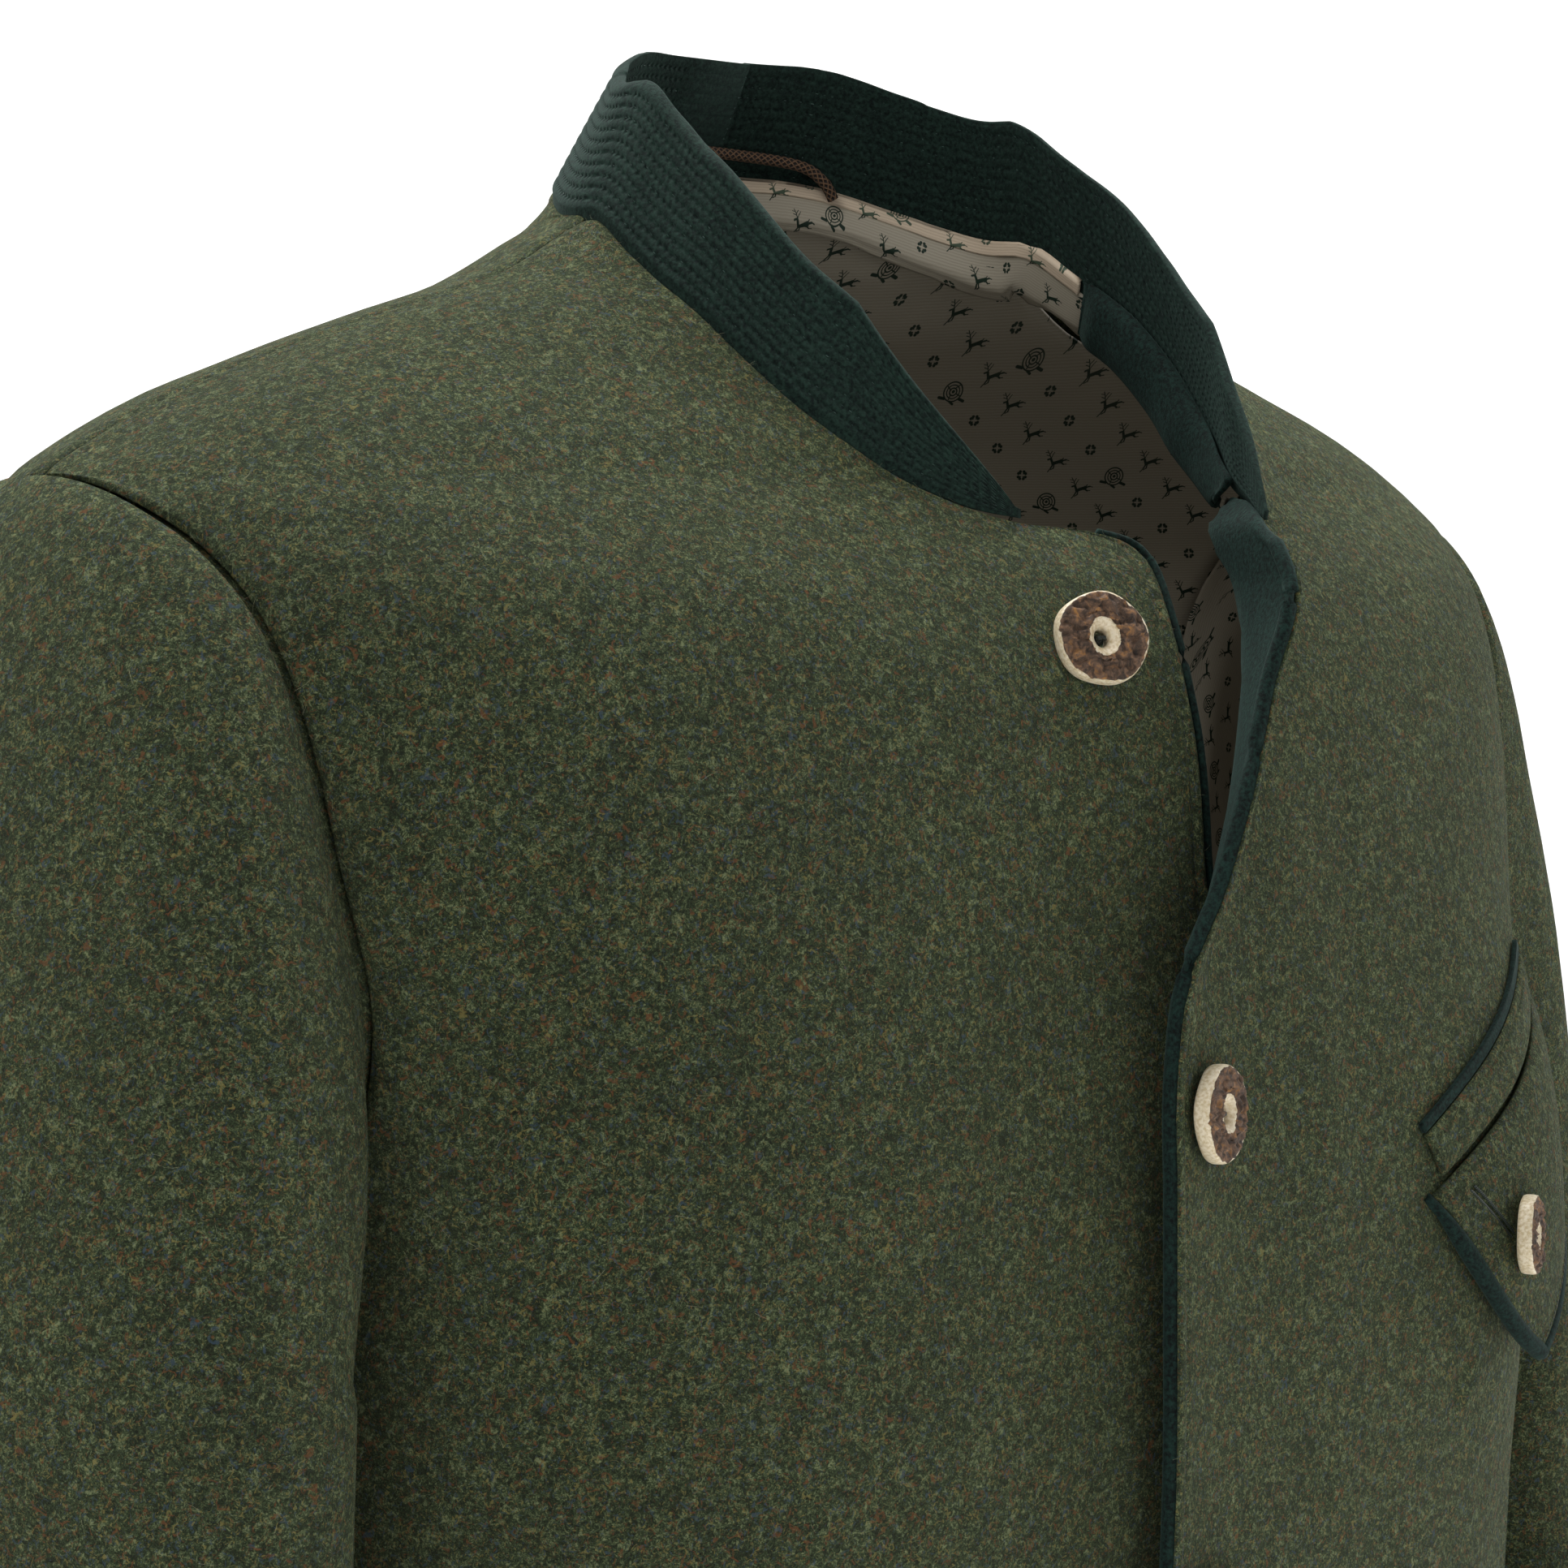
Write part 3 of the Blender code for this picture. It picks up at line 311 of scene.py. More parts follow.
# Front borders: neckline down to the collar's end, then the top corner and the front edge.
# On the right front, x is negative towards the armhole, and the border hugs the body.
RIGHT_BORDER_COLUMNS = ("height", "x")
RIGHT_BORDER = (
    (SHOULDER_NECK, -78), (-12, -78.5), (-22, -77.5), (-34, -74), (-46, -69), (-58, -62),
    (-68, -52), (-77, -38), (-84, -17), (-86, 7), (-88.5, 17), (-92, 20), (-100, 18.5),
    (-112, 16), (-125, 14), (-164, 13), (-200, 18), (-245, 23), (HEM, 24),
)
# The left front stands open at the neck: its border is thrown forward by lift, which
# fades out over the roll width.
LEFT_BORDER_COLUMNS = ("height", "x", "lift", "roll")
LEFT_BORDER = (
    (SHOULDER_NECK, 78, 0, 60), (-12, 79, 2, 64), (-22, 79, 5, 66), (-34, 77, 8, 68),
    (-46, 75, 10, 68), (-58, 71, 11, 68), (-68, 64, 14, 66), (-77, 54, 20, 64),
    (-84, 42, 27, 64), (-86, 39, 30, 64), (-89, 37, 33, 64), (-100, 34, 31, 62), (-125, 24, 20, 58),
    (-156, 10, 16, 54), (-175, 0, 14, 50), (-189, -10, 13, 48), (-203, -16, 12, 46),
    (-230, -20, 10.5, 44), (-290, -21, 9, 44), (-400, -21, 7, 44), (HEM, -22, 6, 44),
)
COLLAR_END = -84.0
# The last stretch of the left front is turned forward as a narrow lapel that shows its felt.
LAPEL_WIDTH = 13.0
LAPEL_SHARE = 0.78

# The chest pocket on the left front, in millimetres across and up.
SLIT_INNER = (84.0, -240.0)
SLIT_OUTER = (158.0, -199.0)
WELT_WIDTH = 13.0
LIP_WIDTH = 3.0
# Corners of the flap along the slit and below it: top inner, tip, lower outer, top outer.
FLAP_CORNERS = ((-5.5, 14.8), (7.0, 81.0), (66.0, 66.5), (92.0, 14.8))
FLAP_TIP_ROUNDING = 0.14
FLAP_EDGE = 1.1              # felt that shows past the flap's edge
FLAP_STAND = 6.0             # how far the flap's lower edge stands off the front
POCKET_CENTRE = (138.0, -250.0)
POCKET_REACH = (46.0, 58.0)
POCKET_BULGE = 9.0

# Soft vertical folds: centre across, half width, depth, top and bottom. Negative is a trough.
FRONT_FOLDS = (
    (66, 20, -1.4, -300, -700),
    (118, 16, 2.2, -330, -760),
    (46, 14, 1.6, -150, -290),
    (-104, 12, -1.5, -290, -640),
    (-60, 22, 1.6, -420, -760),
    (-146, 20, 2.4, -330, -760),
)
BACK_FOLDS = (
    (-92, 24, 3.0, -280, -760),
    (84, 26, 3.2, -300, -760),
    (8, 18, -1.5, -330, -700),
    (-150, 20, -1.5, -150, -420),
    (148, 22, -1.5, -160, -440),
)

# Centre line and half widths of a sleeve, from below the armhole to the cuff.
SLEEVE_COLUMNS = ("height", "x", "y", "half_width", "half_depth")
SLEEVE = (
    (-280, 255, -8, 39, 73.5),
    (-305, 256, -9, 39, 73),
    (-380, 259, -13, 39, 69),
    (-460, 263, -21, 39, 65),
    (-540, 267, -33, 38, 60),
    (-620, 272, -49, 37, 55),
    (-692, 276, -63, 36, 52),
)
HEAD_SWELL = 8.0             # the front of a sleeve head swells forward
SLEEVE_STAND = 1.0           # clearance between a sleeve head and the panels
SLEEVE_TURN = 20.0           # degrees that the flattened section turns its front inwards
SLEEVE_TILT = 0.16           # the cuff's plane drops towards the back of the hand
# The right arm hangs closer in and further forward: shift out and shift back of each arm.
ARM_SET = {-1: (-4.0, -17.0), 1: (0.0, 14.0)}
SLEEVE_FOLDS = ((-402, 3.0), (-436, -2.6), (-468, 3.4), (-502, -2.4), (-560, 1.8))

# Hanging loop: places along the neck seam, rise over it and clearance from the collar.
LOOP_DIAMETER = 3.2
LOOP_ROUTE = (
    (2.37, -1.5, 5.4), (2.31, 2.6, 4.6), (2.2, 5.4, 3.8), (2.06, 6.5, 3.4), (1.94, 6.5, 3.4),
    (1.8, 5.4, 3.8), (1.69, 2.6, 4.6), (1.63, -1.5, 5.4),
)


# %% [markdown]
# A table gives a size at a few heights, and the cloth needs it everywhere between. A cubic that
# never overshoots its rows joins them, so a chest does not gain a ripple that no row asked for. The
# answers are stored every half millimetre, because the finer cloth below asks for them very often.

# %% Curves through the tables
def cubic(start, out, end, into, t):
    """A curve between two values or points that leaves and arrives at the given rates."""
    return (start * (2 * t**3 - 3 * t**2 + 1) + out * (t**3 - 2 * t**2 + t)
            + end * (3 * t**2 - 2 * t**3) + into * (t**3 - t**2))


def column(table, columns, name):
    """A smooth function of the first column that passes through the named column."""
    index = columns.index(name)
    rows = sorted((row[0], row[index]) for row in table)
    keys = [row[0] for row in rows]
    values = [row[1] for row in rows]
    slopes = [(values[i + 1] - values[i]) / (keys[i + 1] - keys[i]) for i in range(len(rows) - 1)]

    def tangent(i):
        before, after = slopes[max(i - 1, 0)], slopes[min(i, len(slopes) - 1)]
        if i in (0, len(slopes)):
            return before
        return 0.0 if before * after <= 0 else 2 * before * after / (before + after)

    def value(key):
        if key <= keys[0]:
            return values[0]
        if key >= keys[-1]:
            return values[-1]
        i = max(k for k in range(len(keys) - 1) if keys[k] <= key)
        span = keys[i + 1] - keys[i]
        return cubic(values[i], tangent(i) * span, values[i + 1], tangent(i + 1) * span,
                     (key - keys[i]) / span)

    return value


def stored(curve, low, high, step=0.5):
    """The same curve, read from answers worked out once."""
    answers = [curve(low + step * k) for k in range(int((high - low) / step) + 2)]

    def value(key):
        place = (min(max(key, low), high) - low) / step
        k = int(place)
        return answers[k] + (answers[k + 1] - answers[k]) * (place - k)

    return value


def columns_of(table, columns):
    """A smooth stored function for each column of a table after its first."""
    keys = [row[0] for row in table]
    step = 0.5 if max(keys) - min(keys) > 5 else 0.002
    return {name: stored(column(table, columns, name), min(keys), max(keys), step) for name in columns[1:]}


def smooth(t):
    t = min(1.0, max(0.0, t))
    return t * t * (3 - 2 * t)


def bump(distance, half_width):
    """One soft wave, 1 in the middle and 0 past the half width."""
    t = abs(distance) / half_width
    return 0.0 if t >= 1 else 0.5 + 0.5 * cos(pi * t)


def lengths_of(line):
    """Distances along a polyline from its first point to each point."""
    lengths = [0.0]
    for a, b in zip(line, line[1:]):
        lengths.append(lengths[-1] + (b - a).length)
    return lengths


def point_along(line, lengths, distance):
    """The point of a polyline at a distance from its start."""
    i = min(max(bisect_right(lengths, distance) - 1, 0), len(line) - 2)
    span = lengths[i + 1] - lengths[i]
    t = 0.0 if span == 0 else (distance - lengths[i]) / span
    return line[i].lerp(line[i + 1], min(1.0, max(0.0, t)))


def at_shares(line, shares):
    """Points at rising shares of a polyline's length."""
    lengths = lengths_of(line)
    return [point_along(line, lengths, lengths[-1] * share) for share in shares]


# %% [markdown]
# ## The surface of the body
#
# Each level section is a superellipse, a rounded box whose corners get squarer as its power grows.
# Folds, the bulge behind the pocket and the roll of the open front are added on top. A cloth that
# lies under or over another is the same surface moved along its normal, which keeps linings,
# facings and pocket pieces off the panel they lie on.

# %% Body surface
BODY_AT = columns_of(BODY, BODY_COLUMNS)
ARM_AT = columns_of(ARMHOLE, ARMHOLE_COLUMNS)
NECK_BACK_AT = columns_of(BACK_NECK, BACK_NECK_COLUMNS)
RIGHT_AT = columns_of(RIGHT_BORDER, RIGHT_BORDER_COLUMNS)
LEFT_AT = columns_of(LEFT_BORDER, LEFT_BORDER_COLUMNS)


def section(height, angle):
    """Point of the body's section; the angle is 0 at the front, 90 degrees at the left side."""
    width = BODY_AT["half_width"](height)
    is_front = cos(angle) > 0
    depth = BODY_AT["front" if is_front else "back"](height)
    power = BODY_AT["front_power" if is_front else "back_power"](height)
    across, along = abs(sin(angle)), abs(cos(angle))
    radius = ((across / width) ** power + (along / depth) ** power) ** (-1 / power)
    return Vector((radius * sin(angle), BODY_AT["seam_y"](height) - radius * cos(angle), height))


def angle_at(height, x, side):
    """Angle at which a front (side 1) or back (side -1) section is x from the middle."""
    width = BODY_AT["half_width"](height)
    depth = BODY_AT["front" if side > 0 else "back"](height)
    power = BODY_AT["front_power" if side > 0 else "back_power"](height)
    share = min(1.0, abs(x) / width)
    along = depth * (1 - share ** power) ** (1 / power)
    return atan2(x, along * side)


def fold_depth(folds, x, height):
    """Sum of the soft vertical folds at a place across and up."""
    total = 0.0
    for centre, half_width, depth, top, bottom in folds:
        ends = smooth((top - height) / 60) * smooth((height - bottom) / 60)
        total += depth * bump(x - centre, half_width) * ends
    return total


def pocket_bulge(x, height):
    across = (x - POCKET_CENTRE[0]) / POCKET_REACH[0]
    along = (height - POCKET_CENTRE[1]) / POCKET_REACH[1]
    return POCKET_BULGE * exp(-across * across - along * along)


def front_point(side, height, angle):
    """Outer surface of the left (side 1) or right (side -1) front."""
    point = section(height, angle)
    outward = fold_depth(FRONT_FOLDS, point.x, height)
    if side > 0:
        outward += pocket_bulge(point.x, height)
        from_edge = max(0.0, point.x - LEFT_AT["x"](height))
        wide = max(0.0, 1 - from_edge / LEFT_AT["roll"](height)) ** 2
        close = max(0.0, 1 - from_edge / LAPEL_WIDTH) ** 1.3
        share = LAPEL_SHARE * smooth((COLLAR_END + 12 - height) / 14) * smooth((height + 222) / 60)
        outward += LEFT_AT["lift"](height) * (wide + (close - wide) * share)
    else:
        lapped = smooth((-130 - height) / 60) * smooth((point.x + 95) / 70)
        outward -= LAP_DEPTH * lapped
    return point + Vector((0.3 * sin(angle), -1, 0)) * outward


def back_point(height, angle):
    """Outer surface of the back."""
    point = section(height, angle)
    point.y += fold_depth(BACK_FOLDS, point.x, height)
    return point


def inside(surface, height, angle, depth):
    """Point at a depth under a surface; a negative depth stands outside it."""
    point = surface(height, angle)
    if depth == 0:
        return point
    across = surface(height, angle + 0.004) - surface(height, angle - 0.004)
    along = surface(height + 0.4, angle) - surface(height - 0.4, angle)
    normal = across.cross(along).normalized()
    return point - normal * depth


def front_surface(side):
    return lambda height, angle: front_point(side, height, angle)


# %% [markdown]
# The panels are cut along the shoulder, the armhole and the side. Their rows start level at the
# front edge or the middle of the back and bend to reach those lines, so that each row is one
# thread of the cloth. Between two rows of the table a new row is found by sharing their heights.

# %% Rows of the panels
# Heights of the panels' rows at their inner ends (front edge or middle of the back); their
# outer ends follow the shoulder seam, then the armhole, then the side seam.
# Shares along the armhole give the outer ends of the rows beside it.
SHOULDER_ROWS = (
    (-8, -8), (-11.5, -11.5), (-17, -17), (-25, -25), (-35, -35), (-45, -45), (-55, -55),
    (-64, -65), (-72.5, SHOULDER_POINT),
)
FRONT_ARM_ROWS = (-79.5, COLLAR_END, -86, -90, -101, -118, -138, -160, -182, -205, -232, -260)
FRONT_ARM_SHARES = (0.045, 0.10, 0.165, 0.24, 0.32, 0.40, 0.49, 0.58, 0.68, 0.78, 0.89, 1.0)
BACK_ARM_ROWS = (-92, -106, -122, -140, -160, -184, -210, -236, -260)
BACK_ARM_SHARES = (0.055, 0.125, 0.21, 0.31, 0.42, 0.545, 0.68, 0.84, 1.0)
BACK_TOP_ROWS = (11.5, 9, 5.2, 1, -4)
LOWER_ROWS = (-292, -332, -376, -426, -480, -540, -605, -670, HEM)
ARMHOLE_SETBACK = 15.0       # the side seam's rows start this much above their inner ends
ARM_STEPS = 120              # points of the armhole's fine line
ROW_STEPS = 96               # points of a row's fine line


def armhole_line(surface, face, side=1, depth=0.0):
    """The armhole as a fine line on a surface, down its front (face 1) or back (face -1)."""
    reach = ARM_AT["front" if face > 0 else "back"]
    drop = UNDERARM - SHOULDER_POINT
    levels = [SHOULDER_POINT + drop * (1 - cos(pi * k / ARM_STEPS)) / 2 for k in range(ARM_STEPS + 1)]
    return [inside(surface, z, side * angle_at(z, reach(z), face), depth) for z in levels]


def armhole_heights(face):
    """Heights of the chosen points along the front (1) or back (-1) of an armhole."""
    shares = FRONT_ARM_SHARES if face > 0 else BACK_ARM_SHARES
    return [point.z for point in at_shares(armhole_line(section, face), shares)]


def lower_outer(height):
    """Outer height of a row below the armhole: it is level again well above the hem."""
    return height + ARMHOLE_SETBACK * smooth((height + 420) / 160)


def row_heights(face):
    """Inner and outer height of each row of a front (1) or the back (-1)."""
    arm_rows = FRONT_ARM_ROWS if face > 0 else BACK_ARM_ROWS
    pairs = list(SHOULDER_ROWS)
    pairs += list(zip(arm_rows, armhole_heights(face)))
    pairs += [(height, lower_outer(height)) for height in LOWER_ROWS]
    if face < 0:
        pairs = [(height, height) for height in BACK_TOP_ROWS] + pairs
    return pairs


def outer_angle(face, height):
    if height > SHOULDER_NECK and face < 0:
        return angle_at(height, NECK_BACK_AT["reach"](height), -1)
    if SHOULDER_POINT >= height > UNDERARM + 0.5:
        name = "front" if face > 0 else "back"
        return angle_at(height, ARM_AT[name](height), face)
    return pi / 2


def front_line(side, inner_height, outer_height, depth=0.0):
    """One row of a front, from its inner border out to the shoulder, armhole or side."""
    border = LEFT_AT["x"](inner_height) if side > 0 else RIGHT_AT["x"](inner_height)
    inner = angle_at(inner_height, border, 1)
    outer = side * outer_angle(1, outer_height)
    surface = front_surface(side)
    line = []
    for k in range(ROW_STEPS + 1):
        t = (k / ROW_STEPS) ** 1.3
        height = inner_height + (outer_height - inner_height) * t ** 1.6
        line.append(inside(surface, height, inner + (outer - inner) * t, depth))
    return line


def back_line(inner_height, outer_height, depth=0.0):
    """One row of the back, from the wearer's right to the left."""
    stop = outer_angle(-1, outer_height)
    start = 2 * pi - stop
    line = []
    for k in range(ROW_STEPS + 1):
        t = k / ROW_STEPS
        height = inner_height + (outer_height - inner_height) * abs(2 * t - 1) ** 1.8
        line.append(inside(back_point, height, start + (stop - start) * t, depth))
    return line


# %% [markdown]
# ## From rows to cloth
#
# Cloth starts as a flat grid, because a grid is what weaving makes. The grid comes from a bmesh
# operator with as many columns and rows as the shape needs, each vertex is moved to its place on
# the body, and the corners keep where they were on the flat cut as UV coordinates in metres. A
# Solidify modifier then gives the cloth its real thickness, inwards.

# %% Cloth helpers
def shared_rows(rows, finer):
    """Rows of numbers with finer - 1 new rows shared in between each two."""
    result = []
    for first, second in zip(rows, rows[1:]):
        for k in range(finer):
            result.append(tuple(a + (b - a) * k / finer for a, b in zip(first, second)))
    return result + [rows[-1]]


def spaced(total, near, far, count):
    """Distances along a row: close steps near both ends and even ones between."""
    fit = min(1.0, total / (2.5 * (near[-1] + far[-1])))
    first = [d * fit for d in near]
    last = [total - d * fit for d in reversed(far)]
    middle = [first[-1] + (last[0] - first[-1]) * k / (count + 1) for k in range(1, count + 1)]
    return first + middle + last


def pushed(grid, amount, outward, closed=False):
    """The grid with each point moved along its normal; outward is 1 or -1 by the way it runs."""
    rows, cols = len(grid), len(grid[0])
    result = []
    for r, row in enumerate(grid):
        above, below = grid[max(r - 1, 0)], grid[min(r + 1, rows - 1)]
        moved = []
        for c, point in enumerate(row):
            left = row[(c - 1) % cols if closed else max(c - 1, 0)]
            right = row[(c + 1) % cols if closed else min(c + 1, cols - 1)]
            normal = (right - left).cross(below[c] - above[c]).normalized()
            moved.append(point + normal * outward * amount(r, c, point))
        result.append(moved)
    return result


def flat_of(grid, closed=False):
    """Where each point lay on the flat cut, in metres: along its row from the middle, and down."""
    down = [lengths_of([row[c] for row in grid]) for c in range(len(grid[0]))]
    flat = []
    for r, row in enumerate(grid):
        line = row + [row[0]] if closed else row
        lengths = lengths_of(line)
        middle = lengths[len(lengths) // 2]
        flat.append([((d - middle) * MM, -down[c % len(row)][r] * MM) for c, d in enumerate(lengths)])
    return flat


def finish_piece(name, bm, material, slot, *nodes):
    """Makes the object, gives it its material, and says what it rides on and replaces."""
    mesh = bpy.data.meshes.new(name)
    bm.to_mesh(mesh)
    bm.free()
    mesh.shade_smooth()
    mesh.materials.append(material)
    piece = bpy.data.objects.new(name, mesh)
    scene.collection.objects.link(piece)
    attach(piece, "root")
    if nodes:
        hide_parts(*nodes)
    return piece


def cloth(name, grid, thickness, material, slot, *nodes, flip=False, closed=False, flat=None):
    """A cloth wall on a grid of points in millimetres; with no thickness it is a bare skin."""
    rows, cols = len(grid), len(grid[0])
    flat = flat or flat_of(grid, closed)
    across, down = (cols if closed else cols - 1), rows - 1
    bm = bmesh.new()
    layer = bm.loops.layers.uv.new("cut")
    bmesh.ops.create_grid(bm, x_segments=across, y_segments=down, size=0.5)
    spot = {v: (round((0.5 - v.co.y) * down), round((v.co.x + 0.5) * across)) for v in bm.verts}
    for face in bm.faces:
        for corner in face.loops:
            r, c = spot[corner.vert]
            corner[layer].uv = flat[r][c]
    for vert, (r, c) in spot.items():
        vert.co = grid[r][c % cols] * MM
    if closed:
        bmesh.ops.remove_doubles(bm, verts=bm.verts, dist=1e-6)
    if flip:
        bmesh.ops.reverse_faces(bm, faces=bm.faces)
    piece = finish_piece(name, bm, material, slot, *nodes)
    if thickness:
        wall = piece.modifiers.new("wall", "SOLIDIFY")
        wall.thickness = thickness * MM
        wall.offset = -1
        wall.use_even_offset = False
    print(name, rows, "x", cols, "points")
    return piece


# %% [markdown]
# ## Loden
#
# Loden is wool that was woven, then shrunk and milled until the threads felt together. The yarn was
# dyed before spinning, so up close the green is a mix of olive, moss, rust, ochre and blue-grey
# fibres, and a short nap catches the light at the edges. Four noises at fibre size share out those
# colours. The nap is a soft sheen, and a bump at the size of a fibre clump breaks up the surface.

# %% Loden
def make_loden():
    material, shader, add = new_material("milled melange loden")
    where = add("TexCoord").outputs["Object"]
    swirl = add("TexNoise", {"Vector": where, "Scale": 430, "Detail": 6.0, "Roughness": 0.72,
                             "Distortion": 1.2})
    clumps = add("TexNoise", {"Vector": where, "Scale": 980, "Detail": 4.0, "Roughness": 0.75,
                              "Distortion": 2.0})
    both = add("Math ADD", (swirl, clumps))
    halved = add("Math MULTIPLY", (both, 0.5))
    colour = add("ValToRGB", {"Fac": halved}, stops=((0.41, ink("060b05")), (0.475, ink("1a2613")),
                                                     (0.53, ink("3c4b2e")), (0.61, ink("8a936a"))))
    # Fibres of the other dyes: colour, noise scale in clumps per metre, and where they begin.
    for code, scale, begins in (("7a4526", 420, 0.575), ("3b5064", 480, 0.58), ("8f8248", 610, 0.585)):
        offset = add("Mapping", {"Vector": where, "Location": (scale * 0.37, 0.2, 1.3)})
        speck = add("TexNoise", {"Vector": offset, "Scale": scale, "Detail": 2.5, "Roughness": 0.7,
                                 "Distortion": 1.5})
        share = add("MapRange", {"Value": speck, "From Min": begins, "From Max": begins + 0.08,
                                 "To Max": 0.7})
        mixed = add("Mix", {0: share, 6: colour, 7: ink(code)}, data_type="RGBA")
        colour = mixed.outputs[2]
    cloudy = add("TexNoise", {"Vector": where, "Scale": 24, "Detail": 3.0})
    tone = add("MapRange", {"Value": cloudy, "From Min": 0.3, "From Max": 0.7, "To Min": 0.9,
                            "To Max": 1.1})
    toned = add("VectorMath SCALE", {0: colour, "Scale": tone})
    fuzz = add("TexNoise", {"Vector": where, "Scale": 1100, "Detail": 3.0, "Roughness": 0.8,
                            "Distortion": 1.0})
    height = add("Math MULTIPLY_ADD", (fuzz, 0.6, both))
    bump = add("Bump", {"Height": height, "Strength": 1.0, "Distance": 0.0009})
    plug(shader, {"Base Color": toned, "Normal": bump, "Roughness": 0.95, "Specular IOR Level": 0.2,
                  "Sheen Weight": 0.3, "Sheen Roughness": 0.55, "Sheen Tint": ink("9fac86")})
    return material


LODEN_CLOTH = make_loden()


# %% [markdown]
# ## Wool felt
#
# The collar, the facings and the pocket's rims are dense bottle-green wool felt. It has no thread
# to see, only a fine matted grain that is nearly black in the shade and a cool teal in the light.

# %% Felt
def make_felt(name, dark, light, stitched=False):
    """Felt; the stitched one dips along its UV at each stitch of the quilting."""
    material, shader, add = new_material(name)
    where = add("TexCoord")
    grain = add("TexNoise", {"Vector": where.outputs["Object"], "Scale": 900, "Detail": 4.0,
                             "Roughness": 0.7})
    patches = add("TexNoise", {"Vector": where.outputs["Object"], "Scale": 140, "Detail": 3.0})
    blend = add("Math MULTIPLY_ADD", (patches, 0.12, grain))
    colour = add("ValToRGB", {"Fac": blend}, stops=((0.44, ink(dark)), (0.70, ink(light))))
    height = grain
    if stitched:
        parts = add("SeparateXYZ", {"Vector": where.outputs["UV"]})
        step = add("Math MULTIPLY", (parts.outputs["X"], 2 * pi / (STITCH * MM)))
        wave = add("Math COSINE", (step,))
        row = add("Math MULTIPLY", (parts.outputs["Y"], pi * COLLAR_RIBS / (COLLAR_HEIGHT * MM)))
        ridge = add("Math COSINE", (row,))
        near = add("Math POWER", (ridge, 6.0))
        dip = add("Math MULTIPLY", (near, wave))
        height = add("Math MULTIPLY_ADD", (dip, -1.15, grain))
    bump = add("Bump", {"Height": height, "Strength": 0.7, "Distance": 0.00035})
    plug(shader, {"Base Color": colour, "Normal": bump, "Roughness": 0.92, "Specular IOR Level": 0.2,
                  "Sheen Weight": 0.18, "Sheen Roughness": 0.5, "Sheen Tint": ink("6f8f86")})
    return material


STITCH = 2.6                 # length of one running stitch with its gap, in millimetres
FELT_CLOTH = make_felt("bottle-green wool felt", "040807", "18302a")
COLLAR_FELT = make_felt("bottle-green wool felt, quilted", "0a1513", "22372f", stitched=True)


# %% [markdown]
# ## Creases
#
# Worn cloth pulls from its fixed points: the armhole, the buttons, the pocket. Each crease is a
# short soft trough or ridge between two places across and up, and no two are of one length, depth or
# spacing. The table lists them one by one, and two noises add what it leaves out: a slow
# unevenness of the interlining, and the small one of milled wool.

# %% Creases
RIGHT_FRONT_CREASES = (
    (-190, -236, -128, -310, 11, -1.5),
    (-196, -262, -150, -352, 13, 1.3),
    (-182, -150, -150, -214, 14, -0.9),
    (-96, -96, -60, -132, 12, 0.7),
    (-88, -372, -86, -520, 4, -1.1),
    (-78, -372, -76, -500, 8, 0.6),
    (-30, -330, -62, -420, 12, 0.9),
    (-36, -560, -120, -600, 16, -1.2),
    (-150, -480, -178, -640, 18, 1.4),
)
LEFT_FRONT_CREASES = (
    (40, -150, 26, -232, 13, 1.0),
    (70, -148, 58, -216, 9, -0.8),
    (96, -300, 112, -326, 5, -1.5),
    (106, -296, 120, -334, 4, 1.1),
    (116, -318, 126, -346, 4, -1.0),
    (150, -330, 152, -470, 7, 1.3),
    (178, -262, 150, -330, 11, -1.0),
    (22, -300, 60, -368, 12, -0.9),
    (86, -520, 88, -660, 10, 1.0),
    (40, -560, 130, -600, 16, -1.1),
)
BACK_CREASES = (
    (-196, -240, -120, -292, 13, -1.7),
    (190, -236, 108, -300, 14, -1.8),
    (-176, -262, -96, -330, 12, 1.2),
    (172, -270, 120, -352, 11, 1.3),
    (-60, -24, 40, -30, 9, -0.8),
    (-110, -420, -30, -452, 16, -1.2),
    (126, -404, 34, -446, 15, -1.3),
    (-70, -600, 96, -612, 20, -1.0),
)


def crease_depth(creases, x, z):
    total = 0.0
    for x1, z1, x2, z2, half_width, depth in creases:
        dx, dz = x2 - x1, z2 - z1
        t = ((x - x1) * dx + (z - z1) * dz) / (dx * dx + dz * dz)
        if -0.15 < t < 1.15:
            away = abs((x - x1) * dz - (z - z1) * dx) / (dx * dx + dz * dz) ** 0.5
            total += depth * bump(away, half_width) * sin(pi * (t + 0.15) / 1.3)
    return total


def unevenness(point):
    slow = noise.noise(point / 46.0) * 0.55
    return slow + noise.noise(point / 9.0) * 0.13


# %% [markdown]
# ## Fronts and back
#
# A front has a felt-backed edge, turned and topstitched four millimetres in, so the cloth dips in a
# groove along the stitching and rolls over at the very edge. At shoulder, armhole and side the cloth
# turns into the seam, and the small drop there draws the seam's dark line.

# %% Fronts and back
FINER = 4                    # rows of cloth for each row of the table
EDGE_STEPS = (0.0, 0.5, 1.1, 1.9, 2.7, 3.4, 4.0, 4.6, 5.4, 7.0, 10.0)
SEAM_STEPS = (0.25, 0.7, 1.3, 2.1, 3.2, 5.0, 8.0)
TOPSTITCH = 4.0              # distance of the stitching from the front edge
FRONT_COLUMNS, BACK_COLUMNS = 38, 62     # even columns between the close ones
MIDDLE_SEAM = 0.75           # depth of the seam down the middle of the back


def seam_turn(distance):
    """Height of the cloth near a seam that it turns into."""
    return -1.0 * exp(-distance / 1.1) + 0.35 * bump(distance - 4.5, 4.0)


